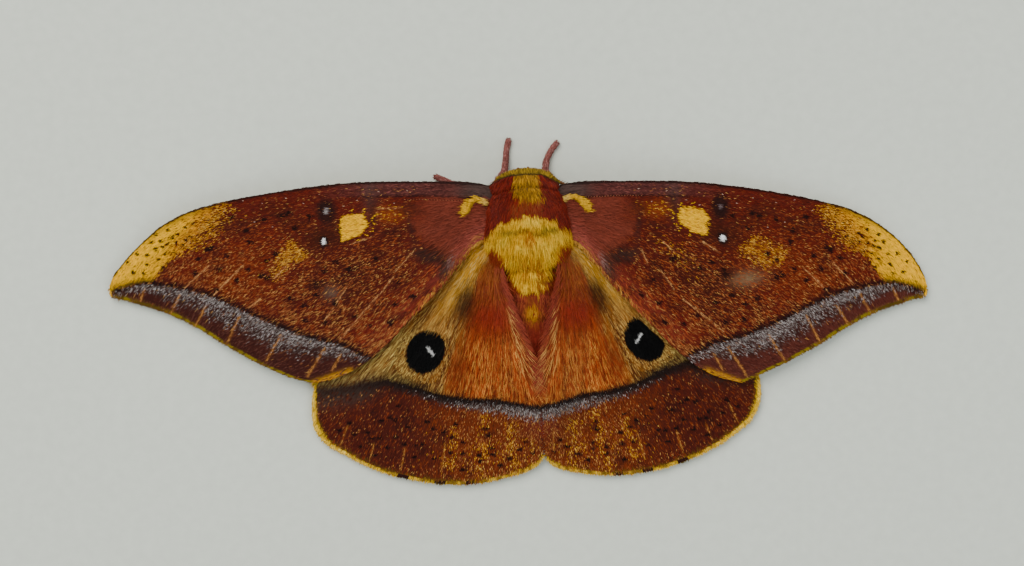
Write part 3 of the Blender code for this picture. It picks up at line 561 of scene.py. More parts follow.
forewingMarks = {
    # colours of the ground, the lobe, the costal strip, the yellow apex and the outer band
    "ground": "#60190c", "brown": "#491a0b", "redder": "#701d0d", "warm": "#702609",
    "rear": "#843020", "fleckOrange": "#c4602c", "dark": "#1c0a07",
    "costalStrip": "#5c322e", "costalGrey": "#54443e", "costalLine": "#241010",
    "lobe": "#7c3626", "lobeRim": "#8c4024", "lobeHair": "#a85044", "smudge": "#3a241c",
    # the apex's darker yellow is painted shade along the costa
    "apex": "#ffc200", "apexInner": "#d48c14", "apexPaintedShade": "#94680c", "spotYellow": "#ffc400",
    "apexEdge": [(39.0, -3.9), (41.4, -7.1), (43.4, -9.6), (46.0, -11.4), (48.4, -14.6)],
    "bandLine": [
        (14.0, -27.1), (17.4, -25.4), (21.6, -23.45), (25.6, -22.5), (29.1, -21.25), (32.7, -19.7),
        (36.3, -17.9), (39.9, -16.3), (43.4, -15.4), (47.0, -14.8), (49.5, -14.5), (51.6, -14.95),
        (53.6, -15.6), (56.0, -16.8),
    ],
    "frostWidth": ([17, 20, 22, 26, 31, 36, 42, 48, 52], [1.0, 1.6, 2.2, 3.0, 3.9, 3.5, 2.7, 1.6, 0.9]),
    "bandDark": "#120908", "frostShade": "#371d17", "margin": {"left": "#441c14", "right": "#5a281e"},
    "veinBars": [
        ((49.4, -15.5), (50.2, -17.3)), ((44.3, -16.3), (45.8, -19.1)), ((40.6, -18.0), (42.3, -20.9)),
        ((35.8, -19.4), (37.7, -23.3)), ((29.9, -22.2), (32.2, -26.0)), ((23.6, -24.0), (26.4, -28.3)),
        ((21.4, -25.0), (22.8, -27.4)),
    ],
    "goldLines": {
        "left": [
            ((10.4, -10.0), (13.2, -13.0)), ((13.3, -13.6), (15.4, -16.2)), ((15.6, -16.3), (21.5, -22.9)),
            ((20.0, -15.0), (24.0, -20.8)), ((28.6, -12.0), (30.6, -14.0)), ((34.9, -11.9), (39.5, -16.4)),
            ((39.8, -12.0), (43.6, -15.3)), ((32.7, -16.9), (34.5, -18.3)), ((12.0, -3.6), (15.5, -3.8)),
            ((16.2, -7.9), (19.4, -8.9)),
        ],
        "right": [
            ((13.7, -12.7), (15.7, -15.6)), ((16.9, -16.9), (23.1, -21.8)), ((35.5, -12.3), (39.2, -15.8)),
            ((40.2, -11.7), (43.3, -14.8)), ((11.0, -9.8), (11.8, -11.7)), ((14.3, -8.6), (15.9, -10.2)),
            ((20.3, -8.6), (22.8, -10.2)), ((19.0, -18.1), (20.2, -19.8)),
        ],
    },
    "blotches": [
        (28.1, -4.4), (29.1, -4.7), (36.3, -4.9), (31.6, -5.3), (34.3, -6.9), (33.8, -8.6), (30.2, -10.4),
        (31.5, -11.3), (37.2, -10.6), (38.4, -12.6), (39.3, -9.4), (40.0, -9.7), (31.5, -13.8),
        (32.5, -13.5), (34.3, -12.6), (21.6, -11.5), (19.7, -12.6), (15.7, -11.1), (23.4, -12.9),
        (22.0, -17.6), (23.4, -20.4), (19.1, -19.4), (17.0, -20.8), (14.1, -20.4), (10.6, -16.5),
        (13.4, -17.6), (12.7, -14.4), (26.3, -20.1), (28.4, -16.9), (26.6, -17.9), (39.1, -15.6),
        (42.0, -13.2), (36.0, -14.2), (25.0, -4.9), (27.3, -6.6), (41.4, -11.0), (24.6, -16.4),
    ],
    "freckles": [
        (42.5, -7.8), (44.3, -7.4), (44.5, -8.6), (45.8, -8.8), (46.8, -8.4), (48.1, -8.6), (47.5, -9.5),
        (47.2, -11.1), (48.8, -10.4), (49.0, -11.9), (43.5, -9.0), (45.6, -6.8), (43.1, -6.4),
        (50.2, -10.3), (51.6, -11.5), (49.5, -13.2), (44.9, -10.0), (46.2, -10.3), (41.7, -9.3),
        (42.0, -5.8), (45.0, -7.9), (43.0, -8.4), (46.5, -9.2), (47.4, -7.5), (51.0, -13.0), (46.7, -12.3),
    ],
    "spot": [
        (17.3, -4.5), (20.0, -4.55), (20.8, -5.8), (20.6, -8.6), (18.7, -7.9), (17.4, -7.0), (16.8, -5.9),
    ],
    "smear": {
        "left": [(27.6, -8.5), (25.6, -10.5), (27.8, -11.2), (30.4, -13.9), (30.6, -12.6), (28.8, -10.0)],
        "right": [(26.0, -9.9), (28.4, -7.9), (33.0, -9.8), (31.7, -11.9), (30.3, -12.5), (28.7, -11.4)],
    },
    "hook": {
        "left": [(-0.4, -3.1), (0.5, -2.7), (1.2, -2.4), (1.9, -3.0), (2.4, -3.8), (2.7, -4.4)],
        "right": [(-0.6, -2.7), (0.2, -2.4), (1.1, -2.3), (2.0, -2.8), (2.6, -3.4), (2.9, -3.9)],
    },
    # marks that lie a little differently on the two sides
    "shift": {"left": (0.0, 0.0), "right": (0.1, 0.75)},
    "strays": [
        (16.1, -5.2), (15.8, -6.0), (16.3, -6.9), (16.9, -7.6), (15.5, -4.6), (17.2, -3.9), (19.0, -3.9),
        (18.2, -8.3),
    ],
    "paleDots": [
        (12.8, -2.9), (20.1, -3.3), (25.8, -3.0), (28.3, -2.2), (31.7, -2.9), (34.5, -2.5), (37.3, -4.0),
        (23.5, -1.6), (18.0, -2.5), (15.0, -1.2), (10.9, -1.1), (30.3, -6.4), (33.0, -5.6),
    ],
    "window": {"left": (23.1, -8.5), "right": (23.4, -8.1)},
    "dimDot": {"left": (22.6, -4.1), "right": (23.2, -3.5)},
    "thinPlace": {"left": (22.4, -16.0), "right": (26.9, -14.0)},
    "darkPlace": {"left": (24.5, -14.7), "right": (23.6, -13.6)},
    "spotWidth": {"left": 1.0, "right": 1.12}, "spotMiddle": (18.2, 0),
    "windowRadii": {"left": (0.26, 0.46), "right": (0.4, 0.46)}, "windowSpread": {"left": 0.1, "right": 0.14},
    "dimTone": {"left": "#b4aaa8", "right": "#806c6c"}, "dimScales": {"left": "#a49c98", "right": "#7c6a6a"},
    "thinTone": {"left": "#6e5444", "right": "#8c7050"}, "thinLength": {"left": 1.2, "right": 2.4},
    "apexShift": {"left": 0.0, "right": 1.7},
    # the row of tiny dots behind the costal strip, and its distance from the costa
    "rowStart": 1.6, "rowEnd": 11.6, "rowStep": 0.42, "rowDepth": {"left": 2.55, "right": 2.05},
    # how much tan and gold dust each side has
    "tanShare": {"left": 1.0, "right": 0.72}, "goldShare": {"left": 13, "right": 10},
    "extraGold": {"left": 0, "right": 4},
}
hindwingMarks = {
    "line": [
        (0.0, -26.7), (3.6, -25.95), (7.1, -25.4), (10.7, -25.05), (14.3, -24.35), (17.0, -23.25),
        (20.0, -22.1), (22.1, -21.45), (25.0, -21.8), (27.9, -22.2), (30.7, -22.5), (34.0, -22.6),
    ],
    "ochre": "#986020", "ochreDark": "#582a0e", "ochrePale": "#dcb05c", "orange": "#b04c14",
    "orangeDark": "#782c0c", "gold": "#e8a048", "wedge": "#8c3c1a", "red": "#90260e", "pink": "#8a3424",
    "cream": "#e0a858", "yellow": "#e4a82c", "smudge": "#341606", "tan": "#a88440", "tanPale": "#e6c66c",
    # where the forewing's rear edge passes over this wing
    "cover": {
        "left": [
            (3.8, -1.8), (6.2, -1.9), (8.2, -2.7), (11.3, -5.9), (14.3, -9.2), (17.6, -12.3), (20.7, -15.5),
            (24.2, -18.3), (28.2, -20.4), (32.6, -21.3),
        ],
        "right": [
            (3.7, -2.1), (5.9, -2.5), (7.8, -3.6), (10.7, -7.2), (13.4, -10.8), (16.3, -14.3), (19.2, -17.9),
            (22.3, -21.1), (26.1, -23.6), (30.3, -25.1),
        ],
    },
    "wedgeEdge": [(5.6, -4.2), (7.2, -7), (8.3, -10), (9.2, -14), (11.2, -18), (12.8, -22), (13.6, -26)],
    "strip": [(5.5, -2.2), (7.5, -4.5), (9.0, -6.6), (10.6, -9.0), (12.2, -11.0), (14.0, -13.6)],
    "lineDark": "#160d0b", "frost": "#a49a92", "frostShade": "#3c241c",
    "outer": "#501a0d", "outerWarm": "#74300f", "dark": "#180806",
    "fringe": "#e8bc1c", "fringeShade": "#64480f",
    # the eyespot: middle, half length and width of its oval and the turn of its long axis
    "eyeCentre": {"left": (16.05, -17.75), "right": (16.25, -17.85)}, "eyeTurn": -58,
    "eyeRadii": {"left": (3.35, 2.75), "right": (3.55, 2.8)}, "eyeBlack": "#020202", "eyeWhite": "#f0f0ec",
    "eyeStroke": [
        ((15.8, -17.05), (15.45, -17.45)), ((15.6, -17.35), (15.05, -18.0)), ((15.2, -17.8), (14.9, -18.3)),
    ],
    "veinBars": [
        ((28.2, -28.0), (29.4, -30.8)), ((24.6, -31.0), (25.4, -33.5)), ((20.1, -31.8), (20.9, -35.0)),
        ((14.2, -31.5), (15.1, -35.6)), ((1.6, -30.5), (1.5, -33.7)),
    ],
    "fleckBars": [((8.0, -28.0), (9.3, -36.6)), ((4.6, -29.5), (4.5, -36.2)), ((12.6, -29.5), (14.0, -35.0))],
    "dashes": [
        (20.7, -25.5), (22.0, -27.2), (23.3, -27.5), (21.2, -27.6), (19.5, -28.6), (15.7, -29.2),
        (14.3, -29.7), (12.5, -28.7), (13.2, -30.6), (13.6, -32.9), (11.8, -33.1), (9.4, -33.5),
        (7.5, -33.5), (5.0, -34.2), (1.6, -33.6), (2.5, -31.9), (17.5, -31.4), (20.2, -31.3),
        (21.4, -30.1), (23.6, -30.1), (24.7, -30.1), (18.5, -31.5), (15.9, -33.6), (11.6, -31.5),
        (8.0, -29.6), (8.1, -30.7), (7.4, -32.6), (9.3, -34.4), (27.3, -29.4), (25.2, -29.2),
        (27.9, -27.6), (24.7, -32.6), (12.0, -35.5), (6.5, -35.2), (29.5, -28.6), (16.6, -28.1),
        (22.6, -31.6), (3.6, -33.0), (26.6, -31.2), (18.8, -33.2),
    ],
    "breaks": [(10.9, -37.4), (15.4, -37.2), (20.8, -36.2)],
    "paleStrands": [((3.6, -12.8), (3.0, -16.5)), ((3.0, -16.5), (2.1, -21.5)), ((1.6, -18.5), (0.9, -23.5))],
    "fanFrom": (4.5, 2.0),          # the hair's strands fan out from here
}


# Painting: every marking is a mask on the wing's own plan, which skin and coat both read.
# dice is one random number for each point, so that single scales differ.

def pastApexEdge(flat, side):
    # how far outward of the yellow apex's inner edge a place lies
    shift = forewingMarks["apexShift"][side] * smoothStep(-12.5, -8.5, flat[..., 1])
    return besideLine(flat, forewingMarks["apexEdge"]) - shift


def behindCosta(flat, side):
    return belowLine(flat, forewings[side]["costa"][:-1])


def hookMask(flat, side):
    # the yellow tuft at the wing's root, as a mask of its raised hair, widest at its end
    width = 0.36 + 0.22 * smoothStep(1.4, 2.6, flat[..., 0])
    return nearLines(flat, joined(forewingMarks["hook"][side]), width)


def eyeReach(flat, side):
    # 1 on the rim of the eyespot: an oval on its own turned axes, cut by a slanting line
    # on the right side
    m = hindwingMarks
    axes = np.stack(turnedAxes(flat, m["eyeCentre"][side], m["eyeTurn"]), axis=-1)
    reach = np.linalg.norm(axes / m["eyeRadii"][side], axis=-1)
    cut = 1 + 0.4 * (flat[..., 0] + flat[..., 1] - 0.75)
    return np.maximum(reach, cut) if side == "right" else reach


def paintForewing(flat, v, side, dice):
    x, y, m = flat[..., 0], flat[..., 1], forewingMarks
    fine, cloud = patchNoise(x / 0.5, y / 0.5, 2), patchNoise(x / 2.6, y / 2.0, 1)
    shifted = flat - m["shift"][side]
    toRear = -belowLine(flat, forewing["hind"])
    depth = behindCosta(flat, side)
    colour = layered(m["ground"], [
        (m["redder"], 0.8 * smoothStep(-14, -21, y) * smoothStep(26, 14, x)),
        (m["rear"], 0.75 * smoothStep(6.5, 2.0, toRear) * smoothStep(22, 14, x)),
        (m["brown"], 0.9 * streak(flat, (20.0, -14.5), 8.0, 4.2, -45)),
        (m["warm"], 0.8 * streak(flat, (36.0, -13.5), 9.0, 4.5, -25)),
        (m["brown"], 0.6 * smoothStep(0.5, 0.85, cloud)),
    ])

    # basal lobe: smooth mauve-red with a paler rim, dark smudges outside it, hair along its rear
    lobeMiddle, lobeRadii = (1.2, -5.0), (8.9, 5.2)
    wobble = np.stack([fine - 0.5, 0.8 * (cloud - 0.5)], axis=-1)
    lobe = roundSpot(flat + wobble, lobeMiddle, lobeRadii, 0.09, 2.6)
    lobe = np.maximum(lobe, smoothStep(0.4, -0.4, x + 0.75 * y + 1.5) * (x < 6.5))
    lobe *= smoothStep(-1.4, -3.2, y + 0.9 * (cloud - 0.5)) + smoothStep(6, 4, x) * smoothStep(-3.2, -1.4, y)
    lobe *= 1 - 0.75 * smoothStep(6.8, 9.6, x) * smoothStep(-7.0, -5.0, y)
    rim = roundSpot(flat, lobeMiddle, lobeRadii, 0.3, 2.6) * lobe
    smudge = 1.1 * streak(flat, (8.2, -10.7), 2.5, 1.1, 12) + streak(flat, (6.0, -12.8), 1.6, 0.85, -75)
    smudge += 0.55 * streak(flat, (10.6, -6.6), 2.4, 0.5, 80)
    hairy = streak(flat, (1.8, -9.0), 4.8, 1.7, -52)
    # a few scales are paler or darker than their neighbours, none of them on the lobe
    plain = (1 - 0.95 * lobe) * (1 - 0.7 * np.clip(smudge, 0, 1))
    # costal strip with its dark lower line and a row of small dots, grey at the root
    strip = smoothStep(0.25, -0.25, depth - 1.95) * smoothStep(26, 14, x)
    stripLine = np.exp(-((depth - 2.05) / 0.2) ** 2) * smoothStep(24, 15, x) * smoothStep(0.3, 1.2, x)
    colour = layered(colour, [
        (m["fleckOrange"], (dice > 0.86) * 0.5 * plain * (0.3 + 0.7 * smoothStep(-3, -9, y))),
        (m["dark"], (np.abs(dice - 0.6) < 0.08) * 0.45 * plain),
        (m["lobe"], lobe),
        (m["lobeRim"], 0.5 * lobe * (1 - rim)),
        (m["lobeHair"], 0.85 * hairy * (0.55 + 0.45 * (dice < 0.6))),
        ("#5a2018", 0.5 * hairy * (dice > 0.85)),
        (m["smudge"], 0.9 * np.clip(1.2 * smudge, 0, 1) * (0.6 + 0.4 * (dice < 0.75))),
        ("#94746c", 0.65 * streak(flat, (5.2, -11.6), 1.4, 0.4, -72) * (dice < 0.45)),
        (m["costalStrip"], 0.8 * strip),
        ("#8c4c44", 0.7 * strip * (dice > 0.84) * smoothStep(3, 7, x)),
        (m["dark"], 0.5 * strip * (np.abs(dice - 0.3) < 0.08)),
        (m["costalGrey"], 0.8 * strip * smoothStep(5.5, 1.0, x)),
        (m["costalGrey"], 0.45 * streak(flat, (16.2, -1.8), 1.1, 3.2)),
        (m["costalLine"], 0.75 * (dice < 0.75) * stripLine),
        # a dark line along the costa edge: painted shadow
        (m["dark"], 0.8 * smoothStep(0.32, 0.12, depth)),
    ])

    # round the windows: a dark blot with a dim dot, brown ground, the white window, dark bars
    glass, dim, radii = m["window"][side], m["dimDot"][side], np.array(m["windowRadii"][side])
    # yellow spot, and the smear beyond the windows
    rough = 0.5 * (patchNoise(x / 0.35, y / 0.35, 5) - 0.5) + 0.3 * (dice - 0.5)
    spotAt = m["spotMiddle"] + (shifted - m["spotMiddle"]) / (m["spotWidth"][side], 1)
    spot = smoothStep(-0.1, 0.15, insideShape(spotAt, m["spot"]) + rough)
    smear = smoothStep(-0.5, 0.5, insideShape(flat, m["smear"][side]) + 1.4 * rough)
    # thin grey place, gold lines along the veins, dark blotches
    thin = streak(flat, m["thinPlace"][side], m["thinLength"][side], 1.1, 8)
    blotch = markDistance(flat, m["blotches"]) + 0.25 * (dice - 0.5) + 0.3 * fine < 0.45
    colour = layered(colour, [
        ("#3c180a", 0.75 * streak(shifted, (23.6, -8.2), 3.6, 2.1, -25)),
        ("#1c0c08", 0.9 * roundSpot(flat, glass, radii + 0.42, 0.25)),
        ("#f6f2ea", roundSpot(flat, glass, radii, 0.2)),
        ("#1e100e", 0.85 * roundSpot(flat, dim, (1.35, 1.9), 0.4)),
        (m["dimTone"][side], 0.8 * roundSpot(flat, dim, (0.3, 0.42), 0.4) * (dice < 0.8)),
        ("#2a120c", 0.7 * streak(shifted, (15.9, -4.4), 0.6, 2.0)),
        ("#2a120c", 0.45 * streak(shifted, (13.0, -7.0), 3.0, 0.6, -8)),
        ("#944414", 0.65 * streak(shifted, (13.6, -4.6), 2.0, 1.2)),
        (m["spotYellow"], spot),
        ("#c88408", spot * (dice < 0.2) * 0.7),
        ("#8c4c14", 0.4 * smear),
        (m["thinTone"][side], 0.8 * thin * (dice < 0.85)),
        (m["dark"], 0.85 * streak(flat, m["darkPlace"][side], 1.2, 0.8, 20)),
        ("#b07040", 0.5 * nearLines(flat, m["goldLines"][side], 0.14) * (dice < 0.62)),
        (m["dark"], 0.9 * blotch),
    ])

    # yellow apex, freckled, with painted shade along the costa: there it thins out in streaks where it
    # meets the ground, further back it ends sharply
    beyond, streaky = pastApexEdge(flat, side), smoothStep(-12.5, -8.5, y)
    along = beyond * (0.8 - 0.45 * streaky) + (0.7 + 1.5 * streaky) * (dice - 0.5) + streaky * (fine - 0.75)
    inApex = smoothStep(-0.15, 0.2, along) * (y < -2.2)
    nearEdge = smoothStep(4.5, 0.5, beyond) * (dice > 0.35) * (0.3 + 0.6 * streaky)
    freckle = markDistance(flat, m["freckles"]) + 0.2 * (dice - 0.5) + 0.2 * fine < 0.34
    # outer band: a dark line, frosting behind it, red-brown to the margin, bars on the veins
    band = belowLine(flat, m["bandLine"]) * 0.92
    inBand = smoothStep(-0.05, 0.1, band)
    cloudy = 1.5 * (patchNoise(x / 1.3, y / 1.3, 9) - 0.5) * smoothStep(0.8, 2, band)
    frost = smoothStep(1.15, 0.75, (band + cloudy) / np.interp(x, *m["frostWidth"])) * inBand
    corner = nearLines(flat, [((20.2, -27.5), (25.6, -29.3))], 0.45)
    return layered(colour, [
        (m["apex"], inApex),
        (m["apexInner"], inApex * nearEdge),
        # painted shade on the apex near the costa, then a painted shadow line at the costa edge
        (m["apexPaintedShade"], 0.6 * inApex * smoothStep(1.2, 0.3, depth) * smoothStep(52, 44, x)),
        ("#241408", 0.9 * inApex * smoothStep(0.3, 0.14, depth)),
        ("#6c440a", inApex * (dice < 0.06 + 0.2 * smoothStep(4.5, 1.5, beyond)) * 0.75),
        ("#2c1a06", inApex * 0.9 * freckle),
        (m["margin"][side], inBand),
        (m["frostShade"], 0.85 * frost),
        ("#34140e", inBand * (dice < 0.25) * 0.6),
        ("#7c4a3c", inBand * (dice > 0.88) * 0.5),
        (m["bandDark"], 0.9 * np.exp(-((band + 0.02 + 0.3 * (dice - 0.5)) / 0.4) ** 2)),
        (m["bandDark"], 0.55 * np.exp(-((band + 0.45) / 0.6) ** 2) * (dice < 0.6)),
        ("#a4642c", 0.5 * nearLines(flat, m["veinBars"], 0.2) * smoothStep(0.3, 1.4, band)),
        ("#8c6c14", 0.75 * smoothStep(0.986, 0.996, v) * (dice < 0.7)),
        ("#dc9c14", 0.8 * corner * (dice < 0.8)),
    ])


def paintHindwing(flat, v, side, dice):
    x, y, m = flat[..., 0], flat[..., 1], hindwingMarks
    fine, cloud = patchNoise(x / 0.45, y / 0.6, 14), patchNoise(x / 1.6, y / 1.9, 15)
    # strands follow lines that fan out from the root
    fromX, fromY = m["fanFrom"]
    fan, reach = np.arctan2(x - fromX, fromY - y), np.hypot(x - fromX, y - fromY)
    strand, thick = patchNoise(fan * 90, reach / 3.0, 12), patchNoise(fan * 26, reach / 5.0, 13)
    band = belowLine(flat, m["line"])

    # silky inner area: ochre outside, a wedge inside that goes from brown-red to orange-gold
    tan = smoothStep(14.5, 18.5, x + 0.35 * (y + 18) + 1.5 * (thick - 0.5)) * smoothStep(-12.5, -15.5, y)
    inWedge = smoothStep(0.8, -0.8, besideLine(flat, m["wedgeEdge"]) + 1.6 * (thick - 0.5))
    inWedge *= smoothStep(-3.4, -4.8, y)
    gold = (dice < 0.32) * smoothStep(-14.5, -19, y) * (0.35 + 0.65 * thick)
    amber = smoothStep(-15, -12, y) * (dice < 0.2 + 0.25 * smoothStep(-10, -7, y)) * 0.6
    heat = streak(flat, (6.0, -13.3), 3.3, 2.2) * smoothStep(2.8, 4.2, x)
    # yellow strip beside the wedge, a brown smudge at its end, pale and pink hair by the seam
    strip = nearLines(flat, joined(m["strip"]), 1.15) * (1 - 0.8 * inWedge) * smoothStep(-14.5, -8, y)
    smudge = np.clip(1.3 * streak(flat, (9.7, -10.9), 2.9, 1.45, -80), 0, 1)
    fromSeam = besideLine(flat, hindwing["hind"])
    pink = smoothStep(1.5, 0.6, fromSeam + 0.8 * (strand - 0.5)) * smoothStep(-26, -23, y)
    colour = layered(m["ochre"], [
        (m["ochreDark"], 0.8 * smoothStep(0.45, 0.7, strand) + 0.5 * (dice > 0.75)),
        (m["ochrePale"], (dice < 0.3) * (0.5 + 0.5 * thick) * 0.95),
        ("#b07c34", 0.7 * streak(flat, (12.5, -11.5), 4.5, 1.6, -48) * (dice > 0.45)),
        (m["tan"], 0.8 * tan * (dice < 0.7)),
        (m["tanPale"], 0.9 * tan * (dice < 0.24)),
        (m["orange"], inWedge),
        (m["orangeDark"], inWedge * (0.75 * smoothStep(0.45, 0.7, strand) + 0.5 * (dice > 0.75))),
        (m["gold"], inWedge * gold),
        (m["wedge"], inWedge * smoothStep(-15.5, -12.5, y + 2.4 * (thick - 0.5))),
        ("#b46a24", inWedge * amber),
        ("#7c300e", 0.85 * streak(flat, (11.4, -20.2), 3.8, 1.5, -78) * (dice < 0.75)),
        (m["red"], 0.95 * np.clip(1.2 * heat, 0, 1) * (0.55 + 0.45 * (dice < 0.7))),
        (m["ochreDark"], 0.3 * inWedge * smoothStep(-9, -6, y) * (dice < 0.6)),
        (m["yellow"], 0.9 * strip * (0.6 + 0.4 * (dice < 0.6))),
        (m["yellow"], 0.9 * smoothStep(-4.8, -3.2, y + 0.8 * (thick - 0.5))),
        ("#f4d080", 0.7 * strip * (dice > 0.78)),
        ("#f4d080", 0.7 * smoothStep(-5.5, -3.5, y) * (dice > 0.8)),
        (m["smudge"], 0.9 * smudge * (0.7 + 0.3 * (dice < 0.6))),
        (m["pink"], 0.85 * pink),
        (m["cream"], 0.8 * nearLines(flat, m["paleStrands"], 0.34) * (dice < 0.45)),
    ])

    # outer area, flecked with gold toward the seam, with dark dashes and thin bars
    outside = smoothStep(-0.1, 0.2, band)
    outer = layered(m["outer"], [
        (m["outerWarm"], 0.85 * smoothStep(21, 9, x + 4 * (cloud - 0.5)) * smoothStep(0.5, 2.5, band)),
        (m["dark"], 0.35 * smoothStep(0.6, 0.9, cloud)),
        ("#9c4416", (dice > 0.88) * 0.5),
        (m["dark"], (dice < 0.1) * 0.5),
        ("#7a2c20", 0.5 * smoothStep(3.4, 1.6, x) * smoothStep(-33, -30, y)),
    ])

    # dark postmedial band with feathery frosting behind it, greyest near the seam
    wave = band + 0.3 * (patchNoise(x / 1.6, y / 1.6, 17) - 0.5)
    frostWide = np.interp(x, [0, 6, 12, 20, 32], [2.3, 2.1, 1.5, 1.1, 0.7])
    frost = smoothStep(1.2, 0.5, (wave + 0.7 * (strand - 0.5)) / frostWide) * outside
    coreMiddle = np.interp(x, [0, 20, 26], [0.1, 0.1, 0.7]) - 0.45 * (dice - 0.5)
    coreHalf = np.interp(x, [0, 10, 18, 24, 33], [0.62, 0.75, 1.1, 1.8, 1.9])
    core = np.exp(-(np.abs(wave - coreMiddle) / coreHalf) ** 2.4)
    dash = markDistance(flat, m["dashes"], 1.9) + 0.2 * (dice - 0.5) + 0.25 * fine < 0.34
    # eyespot: a black oval with a small crooked white stroke, flattened along the forewing
    near = eyeReach(flat, side)
    # yellow edge, widest outside, olive within
    toMargin = (1 - v) * 34
    wide = np.interp(x, [2, 8, 22, 27, 31, 33], [0.4, 0.2, 0.2, 0.24, 0.4, 0.9]) + 0.25 * (fine - 0.5)
    yellowEdge = smoothStep(wide + 0.1, wide - 0.1, toMargin)
    return layered(colour, [
        (outer, outside),
        (m["frostShade"], 0.75 * frost),
        (m["frost"], 0.3 * frost * (dice < 0.4) * (0.3 + 0.7 * smoothStep(22, 6, x))),
        ("#5c463a", core * smoothStep(20, 26, x) * (dice < 0.7)),
        (m["lineDark"], core * np.interp(x, [0, 18, 23, 32], [0.93, 0.92, 0.74, 0.5])),
        ("#b87428", 0.5 * nearLines(flat, m["veinBars"], 0.14) * (dice < 0.7)),
        (m["dark"], 0.85 * outside * dash),
        (m["ochrePale"], 0.35 * smoothStep(1.35, 1.1, near) * (dice < 0.5)),
        (m["eyeBlack"], smoothStep(1.02, 0.97, near + 0.06 * (dice - 0.5))),
        (m["eyeWhite"], 0.7 * smoothStep(0.5, 0.95, nearLines(flat, m["eyeStroke"], 0.28))),
        (m["fringeShade"], 0.8 * smoothStep(wide + 0.5, wide + 0.15, toMargin + 0.5 * (dice - 0.5))),
        (m["fringe"], yellowEdge),
        (m["fringeShade"], yellowEdge * (dice < 0.25) * 0.6),
        ("#200e08", 0.85 * yellowEdge * (markDistance(flat, m["breaks"]) < 0.85)),
    ])


# The wings' skins

def gridNormals(points):
    normal = unit(np.cross(np.gradient(points, axis=0), np.gradient(points, axis=1)))
    return normal * np.sign(normal[..., 2:3])


def makeWing(kind, side):
    # a closed skin: the relief above, a smooth face below, thinned toward the margins, and
    # ending just inside the outer margin, where the fringe takes over
    wing, shape = wingKinds[kind], wingShape
    shares = np.linspace(0, 1, shape["columns"]), np.linspace(0, 1, shape["rows"])
    s, v = np.meshgrid(*shares, indexing="ij")
    flat, full = wing["place"](side, s, v)
    full[..., 2] += wingRelief(wing["shape"], s, v)
    inner = v * shape["skinEnd"]
    flatSkin, top = wing["place"](side, s, inner)
    relief = wingRelief(wing["shape"], s, inner)
    top[..., 2] += relief - shape["underCoat"]
    rim = np.minimum(np.minimum(s, 1 - s) * 30 * (0.2 + v), (1 - v) * 40)
    thickness = shape["edge"] + (shape["thickness"] - shape["edge"]) * smoothStep(0, 3, rim)
    bottom = top - np.stack([0 * s, 0 * s, thickness + relief], axis=-1)
    columns, rows = s.shape
    count = columns * rows
    outline = np.concatenate([
        np.arange(rows), (np.arange(1, columns) * rows) + rows - 1,
        (columns - 1) * rows + np.arange(rows - 2, -1, -1), np.arange(columns - 2, 0, -1) * rows,
    ])
    after = np.roll(outline, -1)
    rimFaces = np.stack([outline, after, after + count, outline + count], axis=-1)
    flip = sides[side] < 0
    faces = np.concatenate([
        gridFaces(columns, rows, 0, not flip), gridFaces(columns, rows, count, flip),
        rimFaces[:, ::-1] if flip else rimFaces,
    ])
    # the skin is painted darker than the scales above it: painted shade in the gaps between them
    upper = wing["paint"](flatSkin, inner, side, patchNoise(s * 300, v * 300, 31)) * 0.8
    lower = layered(upper, [("#8a5444", np.full(s.shape, 0.6))])
    colours = np.concatenate([upper.reshape(-1, 3), lower.reshape(-1, 3)])
    ownMap = np.stack([s, v], axis=-1).reshape(-1, 2)
    points = np.concatenate([top.reshape(-1, 3), bottom.reshape(-1, 3)])
    skin = makePiece(
        f"{kind}Skin_{side}", points, faces, materials["wingSkin"], colours,
        {"alongVeins": np.concatenate([ownMap, ownMap])},
    )
    dress(skin, wing["slot"], f"{kind}_{side}")
    return s, v, flat, full


# The wings' coats. A grid is (s, v, plan, points) of a wing's whole upper face.

def wingUnwrap(flat):
    # the wing's own plan, shrunk to the unit square
    return (flat + (5, 40)) / (66, 46)


def growOnWing(grid, count, weight, rng):
    # random roots on a wing, each with its share of the way out, its place on the plan,
    # the upward direction, the lie of the coat and how the plan runs there
    s, v, flat, points = grid
    known = [v, flat, gridNormals(points), np.gradient(points, axis=1), np.gradient(flat, axis=1)]
    roots, (v, flat, outward, lie, flow) = scatterOnGrid(points, known, count, rng, weight)
    return roots, v[:, 0], flat, unit(outward), unit(lie), flow


def halfwayOut(flat, v, flow, length, share=0.5):
    # where a tuft's middle lies on the plan: its colour is read there, not at its root
    step = np.linalg.norm(flow, axis=1)
    middle = flat + flow / step[:, None] * (length * share)[:, None]
    return middle, v + length * share / step / (wingShape["rows"] - 1)


forewingCoat = {
    "Scales": {"count": 46000, "length": (0.4, 0.75), "width": 0.18, "lift": 0.05},
    "Hair": {
        "count": 4800, "length": (0.8, 1.9), "width": 0.14, "lift": 0.25, "hookLift": 0.7, "rearEnd": 0.62,
    },
    "Dust": {
        "count": {"left": 9500, "right": 7800}, "length": (0.26, 0.5), "width": 0.088,
        "rearStretch": 0.7,         # how much longer the tan scales get toward the rear
    },
}
hindwingCoat = {
    # seam and lean: how near the seam a tuft starts to lean over it, and how much
    "Scales": {
        "count": 17000, "length": (0.45, 0.85), "width": 0.19, "lift": 0.06, "stray": 0.12,
        "seam": 0.7, "lean": 1.6, "tone": 0.5, "material": "wingTufts", "rings": 1,
    },
    "Hair": {
        "count": 14500, "length": (1.4, 2.7), "width": 0.115, "lift": 0.2, "stray": 0.1,
        "seam": 2.2, "lean": 0.8, "tone": 0.55, "material": "hairTufts", "rings": 2,
    },
    "Dust": {
        "count": {"left": 3600, "right": 3600}, "length": (0.24, 0.44), "width": 0.1, "rearStretch": 0,
    },
}


